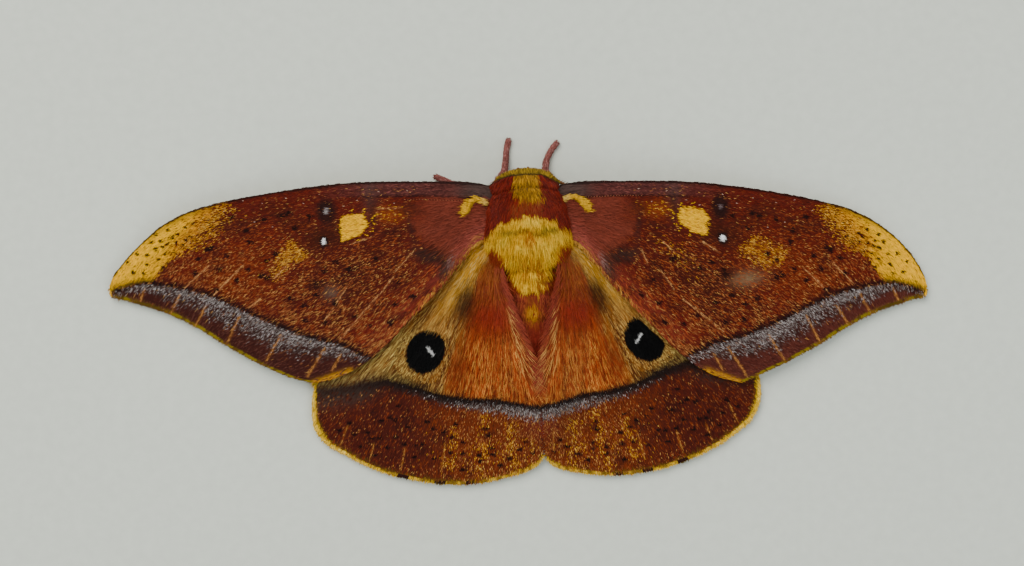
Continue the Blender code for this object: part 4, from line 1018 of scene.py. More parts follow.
def coverForewing(side, grid, rng):
    slotName, coat = wingKinds["forewing"]["slot"], forewingCoat["Scales"]
    roots, v, flat, outward, lie, flow = growOnWing(grid, coat["count"], None, rng)
    count = len(roots)
    # scales are shorter at the very margin, so that none stands past the outline
    length = rng.uniform(*coat["length"], count) * (1 - 0.5 * smoothStep(0.98, 1.0, v))
    middle, vMiddle = halfwayOut(flat, v, flow, length)
    colour = paintForewing(middle, vMiddle, side, rng.random(count)) * rng.uniform(0.84, 1.16, (count, 1))
    makeTufts(
        f"forewingScales_{side}", roots, lie + 0.12 * rng.normal(size=lie.shape), outward,
        length, coat["width"] * rng.uniform(0.8, 1.25, count), coat["lift"] * rng.uniform(0.4, 1.6, count),
        colour, wingUnwrap(flat), materials["wingTufts"],
    )

    # hair: thick on the yellow hook and along the rear edge, thinner on the lobe and behind it
    coat, plan, hookOffset = forewingCoat["Hair"], grid[2], (0.35, -0.1)
    planX, planY = plan[..., 0], plan[..., 1]
    weight = 7 * hookMask(plan + hookOffset, side) + 1.5 * streak(plan, (1.0, -9.0), 4.5, 1.5, -50)
    weight += 0.5 * smoothStep(9.5, 6.5, planX) * smoothStep(-2.5, -3.5, planY)
    weight += 0.12 * smoothStep(24, 8, planX) * smoothStep(-9, -14, planY)
    rearWeight = 5 * smoothStep(coat["rearEnd"], 0.3, grid[1]) + 25 * smoothStep(8.5, 6, planX)
    weight += smoothStep(0.93, 0.975, grid[0]) * rearWeight
    roots, v, flat, outward, lie, flow = growOnWing(grid, coat["count"], weight + 1e-5, rng)
    x, count = flat[:, 0], len(roots)
    rear = smoothStep(1.1, 0.3, -belowLine(flat, forewing["hind"])) * (v < 0.7)
    droop = rear * smoothStep(8.5, 6, x)           # at the root the rear hair hangs to the hindwing
    lie = unit(lie + 0.8 * rear[:, None] * (0, -1, 0))
    hook = hookMask(flat + hookOffset, side)
    length = rng.uniform(*coat["length"], count) * (1 - 0.6 * hook) * (1 - 0.35 * rear)
    middle, vMiddle = halfwayOut(flat, v, flow, length, 0.55)
    dice = rng.random(count)
    golden = (dice > 0.7 - 0.6 * smoothStep(4.5, 1.5, x)) * (0.5 + 0.5 * smoothStep(12, 4, x))
    onHook = smoothStep(0.35, 0.55, hook)
    colour = layered(paintForewing(middle, vMiddle, side, dice), [
        ("#ac5030", 0.75 * rear * (dice < 0.5)),
        ("#dca440", 0.85 * rear * golden),
        ("#e8b420", onHook),
        ("#e8c468", onHook * smoothStep(0.4, -0.8, x) * 0.8),
    ])
    lift = coat["lift"] * rng.uniform(0.4, 1.4, count) + coat["hookLift"] * hook
    lift -= rng.uniform(0.5, 1.7, count) * droop
    makeTufts(
        f"forewingHair_{side}", roots, lie + 0.16 * rng.normal(size=lie.shape), outward,
        length, coat["width"] * rng.uniform(0.8, 1.25, count), lift,
        colour * rng.uniform(0.75, 1.25, (count, 1)), wingUnwrap(flat), materials["hairTufts"], rings=2,
    )


def coverHindwing(side, grid, rng):
    # hair in front of the dark band, scales behind it, and few of either under the forewing
    m, plan = hindwingMarks, grid[2]
    silky = smoothStep(1.0, -0.4, belowLine(plan, m["line"]))
    bare = 0.05 + 0.95 * smoothStep(-2.6, -1.8, belowLine(plan, m["cover"][side]))
    for kind, weight in (("Scales", (1 - 0.72 * silky) * bare), ("Hair", silky * bare + 1e-4)):
        coat = hindwingCoat[kind]
        roots, v, flat, outward, lie, flow = growOnWing(grid, coat["count"], weight, rng)
        count = len(roots)
        length = rng.uniform(*coat["length"], count)
        lie = lie + coat["stray"] * rng.normal(size=lie.shape)
        if kind == "Hair":
            # short at the dark band and round the eyespot
            length = np.minimum(length, np.maximum(-0.9 * belowLine(flat, m["line"]), 0.6))
            length *= np.where(eyeReach(flat, side) < 1.45, 0.3, 1)
        else:
            length *= 1 - 0.5 * smoothStep(0.975, 1.0, v)
        fromSeam = besideLine(flat, hindwing["hind"])
        lean = coat["lean"] * smoothStep(coat["seam"], 0.2, fromSeam) * smoothStep(-3, -6, flat[:, 1])
        lie -= sides[side] * lean[:, None] * turnedOnGround([[1, 0, 0]])
        middle, vMiddle = halfwayOut(flat, v, flow, length, coat["tone"])
        colour = paintHindwing(middle, vMiddle, side, rng.random(count)) * rng.uniform(0.82, 1.18, (count, 1))
        makeTufts(
            f"hindwing{kind}_{side}", roots, lie, outward, length,
            coat["width"] * rng.uniform(0.8, 1.25, count), coat["lift"] * rng.uniform(0.4, 1.6, count),
            colour, wingUnwrap(flat), materials[coat["material"]], coat["rings"],
        )


# Pale scales strewn over the coat. The densities are scales to a square millimetre: tan
# ones, bright gold ones, and the grey ones of the dark bands' frosting.

def forewingDust(flat, side):
    x, y, m = flat[..., 0], flat[..., 1], forewingMarks
    tan = 1.2 + 0.6 * smoothStep(-6, -10, y) + 2.2 * smoothStep(-8, -13, y) * smoothStep(32, 22, x)
    tan += 2.4 * smoothStep(24, 29, x) * smoothStep(-7, -12, y)
    tan += 1.2 * smoothStep(33, 40, x) * smoothStep(-4, -8, y)
    tan += 7 * streak(flat, (15.0, -22.3), 8.5, 1.2, -48)
    tan *= 0.3 + 1.4 * patchNoise(x / 0.9, y / 0.9, 3)
    tan *= smoothStep(0.3, 0.7, markDistance(flat, m["blotches"]))
    # none on the lobe, and few on the dark and the thin places
    thin = streak(flat, m["thinPlace"][side], 2.2, 1.3)
    tan *= 1 - 0.98 * roundSpot(flat, (1.2, -5.0), (9.6, 5.8), 0.1, 2.6)
    tan *= (1 - 0.9 * streak(flat, (8.0, -10.9), 3.0, 1.5, 12)) * m["tanShare"][side]
    tan *= 1 - 0.85 * streak(flat, (23.6, -7.6), 3.4, 2.2, -25)
    tan *= 1 - 0.85 * np.maximum(thin, streak(flat, m["darkPlace"][side], 1.4, 1.0, 20))
    beyond = pastApexEdge(flat, side)
    gold = m["goldShare"][side] * smoothStep(-0.9, 0.3, insideShape(flat, m["smear"][side]))
    gold *= 0.1 + 1.4 * patchNoise(x / 0.5, y / 0.5, 6)
    gold *= 1 - 0.7 * smoothStep(-11, -13, y) * smoothStep(28, 30, x)
    gold += 4 * streak(flat - m["shift"][side], (13.6, -4.5), 1.7, 0.9)
    gold += m["extraGold"][side] * streak(flat, (16.2, -10.4), 3.0, 1.0, -45)
    gold += 12 * np.exp(-((beyond + 0.9) / 1.9) ** 2) * smoothStep(-11, -8, y) * smoothStep(-2.5, -3.5, y)
    band = belowLine(flat, m["bandLine"]) * 0.92
    cloudy = 1.3 * (patchNoise(x / 1.3, y / 1.3, 9) - 0.5) * smoothStep(0.8, 2, band)
    share = (band + cloudy) / np.interp(x, *m["frostWidth"])
    fade = np.interp(share, [0, 0.15, 0.4, 0.8, 1.15], [0.6, 1, 0.4, 0.14, 0])
    frost = 28 * smoothStep(0.0, 0.4, band) * fade
    ground = smoothStep(0.8, -0.2, beyond) * smoothStep(-0.2, -0.9, band)
    inside = smoothStep(0.35, 0.9, behindCosta(flat, side))
    return [inside * tan * (0.04 + 0.96 * ground), inside * gold * (beyond < 4), frost]


def hindwingDust(flat, side):
    x, y, m = flat[..., 0], flat[..., 1], hindwingMarks
    band = belowLine(flat, m["line"])
    outside = smoothStep(0.8, 1.6, band) * smoothStep(0.2, 0.6, markDistance(flat, m["dashes"], 1.9))
    tan = (0.8 + 3.0 * smoothStep(17, 10, x)) * (0.3 + 1.4 * patchNoise(x / 0.8, y / 1.1, 16))
    gold = 6.5 * nearLines(flat, m["fleckBars"], 0.7) * (0.2 + patchNoise(x / 0.5, y / 0.7, 18))
    gold += 2.0 * streak(flat, (8.0, -33.0), 6.0, 2.2) * (0.2 + patchNoise(x / 0.5, y / 0.7, 19))
    wide = np.interp(x, [0, 6, 12, 20, 32], [2.3, 2.1, 1.5, 1.3, 1.0])
    frost = 24 * smoothStep(0.0, 0.6, band) * smoothStep(1.2, 0.2, band / wide)
    return [tan * outside, gold * outside, frost * np.interp(x, [0, 7, 14, 20], [1.0, 0.6, 0.18, 0])]


dustColours = {
    "tan": ("#8c4828", "#ac6a36", "#dca456"),
    "gold": ("#b87a20", "#e4a42c", "#ffcc58"),
    "frost": ("#584e4a", "#948c88", "#ccc4c0"),
}


def dustWing(kind, side, grid, rng):
    # short pale scales that lie on the coat, tan, gold or grey by their place
    wing = wingKinds[kind]
    coat = wing["coat"]["Dust"]
    weight = sum(wing["dust"](grid[2], side)) + 1e-4
    roots, v, flat, outward, lie, flow = growOnWing(grid, coat["count"][side], weight, rng)
    count = len(roots)
    weights = np.cumsum(wing["dust"](flat, side), axis=0)
    pick = rng.random(count) * weights[-1]
    kindOf = np.sum(pick[None] > weights[:2], axis=0)
    tone = np.sum(rng.random(count)[:, None] > (0.4, 0.84), axis=1)
    palette = np.array([[linearColour(hexCode) for hexCode in colours] for colours in dustColours.values()])
    colour = palette[kindOf, tone] * rng.uniform(0.8, 1.2, (count, 1))
    stretch = coat["rearStretch"] * smoothStep(-12, -20, flat[:, 1]) * (kindOf == 0)
    length = rng.uniform(*coat["length"], count) * (1 + stretch)
    makeTufts(
        f"{kind}Dust_{side}", roots + 0.04 * outward, lie + 0.2 * rng.normal(size=lie.shape),
        outward, length, coat["width"] * rng.uniform(0.7, 1.25, count), rng.uniform(0.08, 0.14, count),
        colour, wingUnwrap(flat), materials["wingTufts"],
    )


# Crisp small marks of short scales laid over the coat. A group is (places, how many scales
# each), or (lines, scales to a millimetre), then stray, length, width and colour.

def forewingGroups(side):
    m = forewingMarks
    # a row of tiny dots just behind the costal strip
    along = np.arange(m["rowStart"], m["rowEnd"], m["rowStep"])
    costaAt = behindCosta(np.stack([along, 0 * along], axis=1), side)
    row = np.stack([along, costaAt - m["rowDepth"][side]], axis=1)
    window, spread = np.array(m["window"][side]), (m["windowSpread"][side], 0.07)
    return [
        (m["blotches"], 13, (0.24, 0.19), 0.32, 0.17, "#240c08"),
        (m["freckles"], 7, (0.16, 0.1), 0.26, 0.12, "#2c1a06"),
        (m["goldLines"][side], 6, 0.06, 0.4, 0.08, "#d49c60"),
        (m["veinBars"], 11, 0.09, 0.34, 0.08, "#c08440"),
        (np.array(m["strays"]) + m["shift"][side], 3, 0.14, 0.3, 0.12, m["spotYellow"]),
        (m["paleDots"], 1, 0.05, 0.28, 0.12, "#dcb8a0"),
        (row, 1, 0.02, 0.17, 0.1, "#b87450"),
        (row + (0.21, 0.03), 1, 0.02, 0.17, 0.13, "#200c08"),
        ([(window - (0, 0.3), window + (0, 0.35))], 60, spread, 0.3, 0.14, "#ffffff"),
        ([m["dimDot"][side]], 8, (0.12, 0.2), 0.3, 0.12, m["dimScales"][side]),
    ]


def hindwingGroups(side):
    m = hindwingMarks
    return [
        ([((x - 0.32, y), (x + 0.32, y)) for x, y in m["dashes"]], 14, (0.04, 0.08), 0.3, 0.12, m["dark"]),
        (m["veinBars"], 4, 0.05, 0.34, 0.07, "#d09448"),
        (m["eyeStroke"], 32, 0.1, 0.3, 0.11, "#f4f4f2"),
    ]


def layOnWing(grid, places, ways):
    # puts places and directions of the plan onto the wing: from the nearest grid point, the
    # grid's own slopes carry both the small step to the place and the direction
    plan, full = grid[2:]
    flat, points = plan.reshape(-1, 2), full.reshape(-1, 3)
    near = np.array([np.argmin(np.sum((flat - place) ** 2, axis=1)) for place in places])
    planSlopes, slopes = (
        np.stack([np.gradient(values, axis=axis).reshape(-1, size)[near] for axis in (0, 1)], axis=-1)
        for values, size in ((plan, 2), (full, 3))
    )
    carry = slopes @ np.linalg.inv(planSlopes)
    roots = points[near] + (carry @ (places - flat[near])[..., None])[..., 0]
    return roots, unit((carry @ ways[..., None])[..., 0]), gridNormals(full).reshape(-1, 3)[near]


def markWing(kind, side, grid, rng):
    wing, drawn = wingKinds[kind], []
    for marks, number, stray, length, width, hexCode in wing["groups"](side):
        marks = np.array(marks, float)
        if marks.ndim == 3:
            run = marks[:, 1] - marks[:, 0]
            reach = np.linalg.norm(run, axis=1)
            pick = rng.choice(len(reach), size=int(number * reach.sum()), p=reach / reach.sum())
            places = marks[pick, 0] + run[pick] * rng.random((len(pick), 1))
            outwards = np.sign(np.sum(run[pick] * (places - wing["fan"]), axis=1))
            ways = run[pick] / reach[pick, None] * outwards[:, None]
        else:
            places = np.repeat(marks, number, axis=0)
            ways = unit(places - wing["fan"])
        places = places + np.array(stray) * rng.normal(size=places.shape)
        size = length * rng.uniform(0.7, 1.3, len(places))
        drawn.append((
            places - ways * size[:, None] * 0.5, ways + 0.15 * rng.normal(size=ways.shape), size,
            width * rng.uniform(0.8, 1.2, len(places)),
            linearColour(hexCode) * rng.uniform(0.75, 1.25, (len(places), 1)),
        ))
    places, ways, length, width, colours = (np.concatenate(part) for part in zip(*drawn))
    roots, lie, outward = layOnWing(grid, places, ways)
    makeTufts(
        f"{kind}Marks_{side}", roots + 0.06 * outward, lie, outward, length, width,
        rng.uniform(0.1, 0.15, len(roots)), colours, wingUnwrap(places), materials["wingTufts"],
    )


fringes = {
    "forewing": {"tufts": 2600, "reach": (0.2, 0.5), "sideReach": 0, "width": 0.17},
    "hindwing": {"tufts": 4600, "reach": (0.2, 0.5), "sideReach": 0.3, "width": 0.16},
}


def makeFringe(kind, side, rng):
    # short scales along the outer margin, lying outward in the wing's plane and ending at it
    wing, shape = wingKinds[kind], fringes[kind]
    count = shape["tufts"]
    s = np.sort(rng.uniform(0.012, 0.988, count))
    flat, margin = wing["place"](side, s, np.ones(count))
    flatInside, inside = wing["place"](side, s, np.full(count, 0.985))
    lie = unit(margin - inside)
    reach = rng.uniform(*shape["reach"], count) * (1 + shape["sideReach"] * smoothStep(28, 33, flat[:, 0]))
    outward = unit(np.cross(np.gradient(margin, axis=0), lie))
    outward *= np.sign(outward[:, 2:3])
    colour = wing["fringe"](flat, s, rng.random(count)) * rng.uniform(0.8, 1.2, (count, 1))
    makeTufts(
        f"{kind}Fringe_{side}", margin - lie * reach[:, None],
        lie + 0.07 * rng.normal(size=lie.shape), outward, reach + rng.uniform(-0.12, 0.12, count),
        shape["width"], rng.uniform(-0.1, 0.12, count), colour, wingUnwrap(flatInside),
        materials["wingTufts"],
    )


def forewingFringeColour(flat, s, dice):
    return layered("#84700f", [
        ("#3c180a", (patchNoise(s * 60, 0 * s, 41) > 0.62) * 0.7),
        ("#e8b00c", smoothStep(0.07, 0.03, s)),
    ])


def hindwingFringeColour(flat, s, dice):
    x, cloud = flat[:, 0], patchNoise(s * 70, 0 * s, 42)
    return layered("#f0c024", [
        ("#8c6814", (dice < 0.25) * 0.8),
        ("#ffe474", (dice > 0.75) * 0.7 * (0.4 + 0.6 * smoothStep(24, 30, x))),
        ("#5c400c", smoothStep(28, 20, x) * (0.2 + 0.6 * smoothStep(0.4, 0.7, cloud))),
        ("#2c1009", 1.0 * (markDistance(flat, hindwingMarks["breaks"]) < 0.85)),
    ])


wingKinds = {
    # fan is where the marks' scales point away from, on the wing's plan
    "forewing": {
        "shape": forewing, "place": placeForewing, "paint": paintForewing, "cover": coverForewing,
        "coat": forewingCoat, "dust": forewingDust, "groups": forewingGroups, "fan": (-2.0, -4.5),
        "fringe": forewingFringeColour, "slot": "rust_wing",
    },
    "hindwing": {
        "shape": hindwing, "place": placeHindwing, "paint": paintHindwing, "cover": coverHindwing,
        "coat": hindwingCoat, "dust": hindwingDust, "groups": hindwingGroups, "fan": (4.5, 2.0),
        "fringe": hindwingFringeColour, "slot": "orange_wing",
    },
}
wingRng = np.random.default_rng(5)
for side in sides:
    for kind, wing in wingKinds.items():
        grid = makeWing(kind, side)
        wing["cover"](side, grid, wingRng)
        dustWing(kind, side, grid, wingRng)
        markWing(kind, side, grid, wingRng)
        makeFringe(kind, side, wingRng)
    print("wings done:", side)


# Body

bodyShape = {
    # rows of distance along the axis, half width, lowest and highest point
    "thorax": [
        (5.3, 1.4, 5.6, 8.4), (5.0, 4.0, 3.8, 10.4), (4.0, 5.4, 2.9, 11.8), (1.0, 5.9, 2.5, 12.8),
        (-2.5, 5.9, 2.5, 12.5), (-4.9, 5.1, 2.8, 11.3), (-6.2, 3.7, 3.5, 9.9), (-6.6, 1.5, 5.0, 8.4),
    ],
    "abdomen": [
        (-2.6, 2.6, 2.9, 8.0), (-5.0, 3.9, 1.7, 9.1), (-9.0, 4.3, 1.1, 9.3), (-14.0, 4.1, 0.8, 8.8),
        (-19.0, 3.7, 0.3, 7.9), (-24.0, 3.0, -0.3, 6.5), (-28.0, 2.1, -0.2, 4.9), (-30.2, 0.9, 0.8, 3.2),
    ],
    "lean": 0.22, "leanMiddle": 7.5, "segments": 8, "segmentStep": 0.07,
    # middles and radii of ovals, then paths and radii of limbs
    "head": ((0.0, 6.0, 5.1), (1.95, 2.15, 2.2)),
    "eye": ((1.6, 6.3, 5.0), 1.22),
    "neck": ((0.0, 4.6, 6.2), (2.6, 2.2, 2.4)),
    "palps": ([(0.6, 7.0, 4.0), (0.75, 8.0, 3.2), (0.7, 8.5, 2.5)], [0.42, 0.38, 0.16]),
    "collar": (
        [(-5.2, 5.5, 8.8), (-4.0, 6.1, 9.5), (-2.2, 6.7, 9.9), (0.0, 6.95, 10.1)], [0.4, 0.75, 0.95, 1.0],
    ),
    "collarRear": (
        [(-5.0, 4.9, 8.6), (-4.0, 5.35, 9.5), (-2.2, 5.8, 10.1), (0.0, 6.0, 10.35)], [0.4, 0.75, 0.95, 1.0],
    ),
    "coatDepth": 0.25,              # how far the skin lies under the coat's surface
    "voxel": 0.16, "relaxing": 6,   # fineness of the fused skin, and how often it is smoothed
    "floorGap": 0.03,
}


def shellGrid(rows, rings, around, swell, lean=0.0, middle=0.0, segments=0, step=0.0):
    # oval rings along the body, their half width and height read from a smooth profile. The
    # rings crowd toward the ends, or with segments are evenly spaced and swell in steps
    share = np.linspace(0, 1, rings)
    if not segments:
        share = 0.5 - 0.5 * np.cos(np.pi * share)
    profile = smoothCurve(rows, share)
    swell = swell + step * (((share * segments) % 1) - 0.5) * 2
    half = profile[:, 1] + swell
    height = (profile[:, 3] - profile[:, 2]) / 2 + swell
    centre = (profile[:, 3] + profile[:, 2]) / 2
    turn = 2 * np.pi * np.arange(around) / around
    x = half[:, None] * np.cos(turn)
    z = centre[:, None] + height[:, None] * np.sin(turn)
    points = np.stack([x, np.broadcast_to(profile[:, :1], x.shape), z], axis=-1)
    points[..., 1] += lean * (points[..., 2] - middle)
    points[..., 2] = np.maximum(points[..., 2], bodyShape["floorGap"])
    return points


def closedTube(points):
    # quads round a grid of rings, with a fan on the middle of each end ring
    rings, around = points.shape[:2]
    index = np.arange(rings * around).reshape(rings, around)
    after = np.roll(index, -1, axis=1)
    quads = np.stack([index[:-1], after[:-1], after[1:], index[1:]], axis=-1).reshape(-1, 4)
    first, last = rings * around, rings * around + 1
    fans = np.concatenate([
        np.stack([np.full(around, first), after[0], index[0]], axis=-1),
        np.stack([np.full(around, last), index[-1], after[-1]], axis=-1),
    ])
    ends = np.stack([points[0].mean(axis=0), points[-1].mean(axis=0)])
    return np.concatenate([points.reshape(-1, 3), ends]), [quads, fans]


def ovalGrid(centre, radii, rings, around, swell=0.0):
    # an ellipsoid whose poles lie along the body
    lift = np.pi * (np.arange(rings) + 1)[:, None] / (rings + 1)
    turn = 2 * np.pi * np.arange(around)[None] / around
    along, off = np.cos(lift) + 0 * turn, np.sin(lift)
    ball = np.stack([off * np.cos(turn), along, off * np.sin(turn)], axis=-1)
    return np.array(centre) + (np.array(radii) + swell) * ball


def limbGrid(path, radii, rings, around, swell=0.0, bumps=()):
    # circles along a smooth path, their radius from the list and from bumps of
    # (share, width, height) for joints, kept above the floor
    share = np.linspace(0, 1, rings)
    spine = smoothCurve(path, share)
    radius = np.interp(share, np.linspace(0, 1, len(radii)), radii) + swell
    for at, width, height in bumps:
        radius = radius + height * np.exp(-((share - at) / width) ** 2)
    radius[[0, -1]] *= 0.45
    radius[[1, -2]] *= 0.85
    tangent = unit(np.gradient(spine, axis=0))
    sideways = unit(np.cross(tangent, (0, 0, 1)))
    upward = np.cross(sideways, tangent)
    turn = 2 * np.pi * np.arange(around) / around
    ring = np.cos(turn)[None, :, None] * sideways[:, None] + np.sin(turn)[None, :, None] * upward[:, None]
    points = spine[:, None] + radius[:, None, None] * ring
    points[..., 2] = np.maximum(points[..., 2], 0.02)
    return points[:, ::-1]


def fuseSkin(grids):
    # the closed forms are fused into one skin by a fine voxel remesh, then relaxed
    allPoints, groups, offset = [], [], 0
    for grid in grids:
        points, faces = closedTube(onGround(grid))
        allPoints.append(points)
        groups += [face + offset for face in faces]
        offset += len(points)
    loose = makePiece("bodyLoose", np.concatenate(allPoints), groups, materials["bodySkin"])
    remesh = loose.modifiers.new("fuse", "REMESH")
    remesh.mode = "VOXEL"
    remesh.voxel_size = bodyShape["voxel"] * mm
    relax = loose.modifiers.new("relax", "SMOOTH")
    relax.iterations = bodyShape["relaxing"]
    graph = bpy.context.evaluated_depsgraph_get()
    mesh = bpy.data.meshes.new_from_object(loose.evaluated_get(graph))
    points = np.empty(len(mesh.vertices) * 3)
    mesh.vertices.foreach_get("co", points)
    mesh.calc_loop_triangles()
    triangles = np.empty(len(mesh.loop_triangles) * 3, dtype=np.int32)
    mesh.loop_triangles.foreach_get("vertices", triangles)
    bpy.data.objects.remove(loose)
    bpy.data.meshes.remove(mesh)
    return points.reshape(-1, 3) / mm, triangles.reshape(-1, 3)


bodyMarks = {
    "red": "#701808", "redDark": "#4a1006", "redWarm": "#8c2c0c", "olive": "#a27418", "oliveDark": "#5c3c08",
    "collar": "#7c620e", "collarTip": "#b08c20", "creaseShade": "#1c1a08",
    "yellow": "#d89e0c", "yellowPale": "#f0c434", "yellowDark": "#86600a",
    "amber": "#a8540c", "mauve": "#742818", "flank": "#8a300c",
    "abdomen": "#7a2416", "abdomenPale": "#a8502c", "under": "#7c4434", "face": "#7a3418",
    # where the painted shadow of the crease behind the collar lies, then the red's ragged rear edge, from
    # left to right
    "collarLine": (
        [-5.8, -5.3, -4.1, -2.3, 0.1, 2.5, 3.9, 5.3], [5.5, 5.85, 6.45, 6.95, 7.05, 6.85, 6.05, 5.25],
    ),
    "redEnd": (
        [-6.0, -4.6, -3.65, -2.6, -1.8, 0.4, 2.0, 3.05, 3.65, 4.5, 5.6],
        [-1.4, -0.2, 0.45, 0.0, 0.85, 0.9, 0.55, 0.0, 0.45, -0.9, -1.2],
    ),
    # how wide the olive patch and the yellow hair are, by distance along the body
    "oliveSides": ([2.8, 3.6, 4.6, 6.0], [-0.4, -1.0, -1.6, -1.4], [2.2, 2.1, 1.95, 2.1]),
    "yellowHalf": (
        [-13, -10, -9, -8, -7, -6, -5, -4, -3.2, -2.5], [0.6, 1.3, 2.3, 2.9, 3.2, 3.5, 3.9, 4.6, 5.3, 7.5],
    ),
    # a crease across the yellow hair, darkened as painted shade: distances outward, then behind the axes'
    # origin
    "creaseLine": ([-4.3, -2.3, -0.1, 1.15, 3.4], [0.95, 1.1, 1.0, 1.6, 1.15]),
}


def collarPart(x, y, z):
    # 1 on the band of hair in front of the crease
    return smoothStep(-0.12, 0.12, y - np.interp(x, *bodyMarks["collarLine"])) * smoothStep(7.3, 8.0, z)


def facePart(y, z):
    return smoothStep(5.0, 5.6, y) * smoothStep(8.0, 7.3, z)


def paintBody(points, dice):
    # points on the body's own axes
    flat, m = points[..., :2], bodyMarks
    x, y, z = (points[..., axis] for axis in range(3))
    wide = np.abs(x)
    ragged = patchNoise(x / 0.35, y / 1.8, 51) - 0.5 + 0.5 * (dice - 0.5)
    between = smoothStep(3.6, 2.6, y + 0.6 * ragged) * smoothStep(2.6, 1.4, wide)
    left, right = (np.interp(y, m["oliveSides"][0], m["oliveSides"][i]) for i in (1, 2))
    patch = smoothStep(-0.3, 0.3, np.minimum(x - left, right - x) + 0.7 * ragged)
    patch *= smoothStep(2.5, 3.4, y + 0.8 * ragged)

    # yellow hair behind, narrowing to the waist, with painted shade in a crease, amber and mauve patches
    pastRed = y - np.interp(x, *m["redEnd"])
    narrow = np.interp(y, *m["yellowHalf"])
    yellow = smoothStep(0.2, -0.2, pastRed - 0.5 * ragged)
    yellow *= smoothStep(0.35, -0.35, wide - narrow - 0.8 * ragged)
    yellow *= smoothStep(-10.7, -9.9, y + 1.2 * ragged)
    lump = patchNoise(x / 1.2, y / 0.9, 52)
    pale = smoothStep(0.5, 0.9, lump) + streak(flat, (0.1, 0.1), 1.9, 0.5)
    olive = smoothStep(0.45, 0.1, lump) * 0.6 + streak(flat, (2.3, -0.9), 1.0, 0.6)
    # painted shade along a crease across the yellow hair
    creaseShade = np.exp(-(((y + np.interp(x, *m["creaseLine"])) / 0.28) ** 2)) * smoothStep(4.6, 3.8, wide)
    side = streak(flat, (-3.3, -1.7), 1.2, 0.8, 60) + streak(flat, (2.9, -1.1), 1.4, 0.6, 10)
    amber = streak(flat, (0.2, -2.3), 1.2, 0.9, 90) + streak(flat, (1.0, -6.5), 1.4, 0.8, 90)
    amber += 0.9 * streak(flat, (-0.7, -6.4), 1.4, 0.8, 90)
    mauve = streak(flat, (2.1, -8.75), 1.2, 0.6, 80) + streak(flat, (0.95, -8.7), 1.3, 0.5, 80)

    # abdomen: mauve-red above with a small yellow patch, pale hair along its sides
    behind = smoothStep(-9.6, -10.8, y + ragged)
    collar = collarPart(x, y, z)
    gap = (y - np.interp(x, *m["collarLine"])) / 0.24
    return layered(m["red"], [
        (m["redDark"], (dice < 0.3) * 0.7),
        (m["redWarm"], (dice > 0.8) * 0.6),
        ("#8c4420", 0.7 * between * (dice < 0.7)),
        (m["olive"], patch),
        (m["oliveDark"], patch * (dice < 0.28) * 0.7),
        (m["yellow"], patch * (dice > 0.85) * 0.6),
        (m["flank"], smoothStep(0.2, -0.2, pastRed) * smoothStep(-1, -2, y)),
        (m["yellow"], yellow),
        (m["yellowPale"], yellow * (0.6 * pale + 0.6 * (dice > 0.8))),
        ("#8a6e0c", 0.6 * yellow * olive * (dice < 0.8)),
        (m["yellowDark"], yellow * (dice < 0.16) * 0.75),
        ("#5c3e08", 0.9 * yellow * creaseShade),
        ("#8c7410", 0.6 * yellow * side * (dice < 0.8)),
        (m["amber"], 0.85 * yellow * amber * (dice < 0.8)),
        (m["mauve"], 0.85 * mauve * (dice < 0.85)),
        (m["abdomen"], behind),
        (m["mauve"], behind * smoothStep(-15, -11, y) * 0.6),
        (m["abdomenPale"], behind * (dice < 0.35) * smoothStep(0.4, 1.4, wide) * 0.7),
        ("#c89018", 0.85 * behind * streak(flat, (-0.2, -13.0), 0.9, 1.3) * (z > 6) * (dice < 0.8)),
        (m["under"], 0.75 * smoothStep(5.0, 3.0, z)),
        (m["face"], facePart(y, z)),
        (m["collar"], collar),
        (m["collarTip"], collar * (dice > 0.6) * 0.8),
        (m["oliveDark"], collar * (dice < 0.15) * 0.7),
        # the dark crease behind the collar is painted shadow
        (m["creaseShade"], 0.85 * np.exp(-(gap**2)) * smoothStep(7.3, 8.0, z)),
    ])


def combBody(points):
    # the lie of the coat on the body's own axes: rearward, splayed over the wings' roots,
    # forward on the collar, down and forward on the face
    x, y, z = points.T
    wide, outer, ones = np.abs(x), np.sign(x), np.ones_like(x)
    splay = 0.05 * x + 0.5 * outer * smoothStep(3.6, 5.6, wide) * smoothStep(-4, -2, y)
    splay += 0.5 * outer * smoothStep(1.6, 3.0, wide) * smoothStep(-2.5, -4.5, y) * smoothStep(-12, -9, y)
    lie = unit(np.stack([splay, -ones, -0.05 * ones], axis=-1))
    collar, face = collarPart(x, y, z), facePart(y, z)
    ahead = unit(np.stack([0.13 * x, ones, -0.25 * ones], axis=-1))
    lie = lie * (1 - collar[:, None]) + ahead * collar[:, None]
    down = np.stack([0.1 * x, 0.35 * ones, -ones], axis=-1)
    return unit(lie * (1 - face[:, None]) + down * face[:, None]), collar, face


bodyCoat = {
    "tufts": 35500, "width": 0.14, "reach": (0.9, 1.7), "collarReach": (0.35, 0.75),
    # keeps each piece under its limit of triangles
    "perPiece": 19500,              # at most this many tufts in each piece, which bounds its triangles
    "waist": -6.8,                  # where the thorax's hair ends and the abdomen's starts
    "eyeGap": 0.12,                 # bare rim round each eye
}


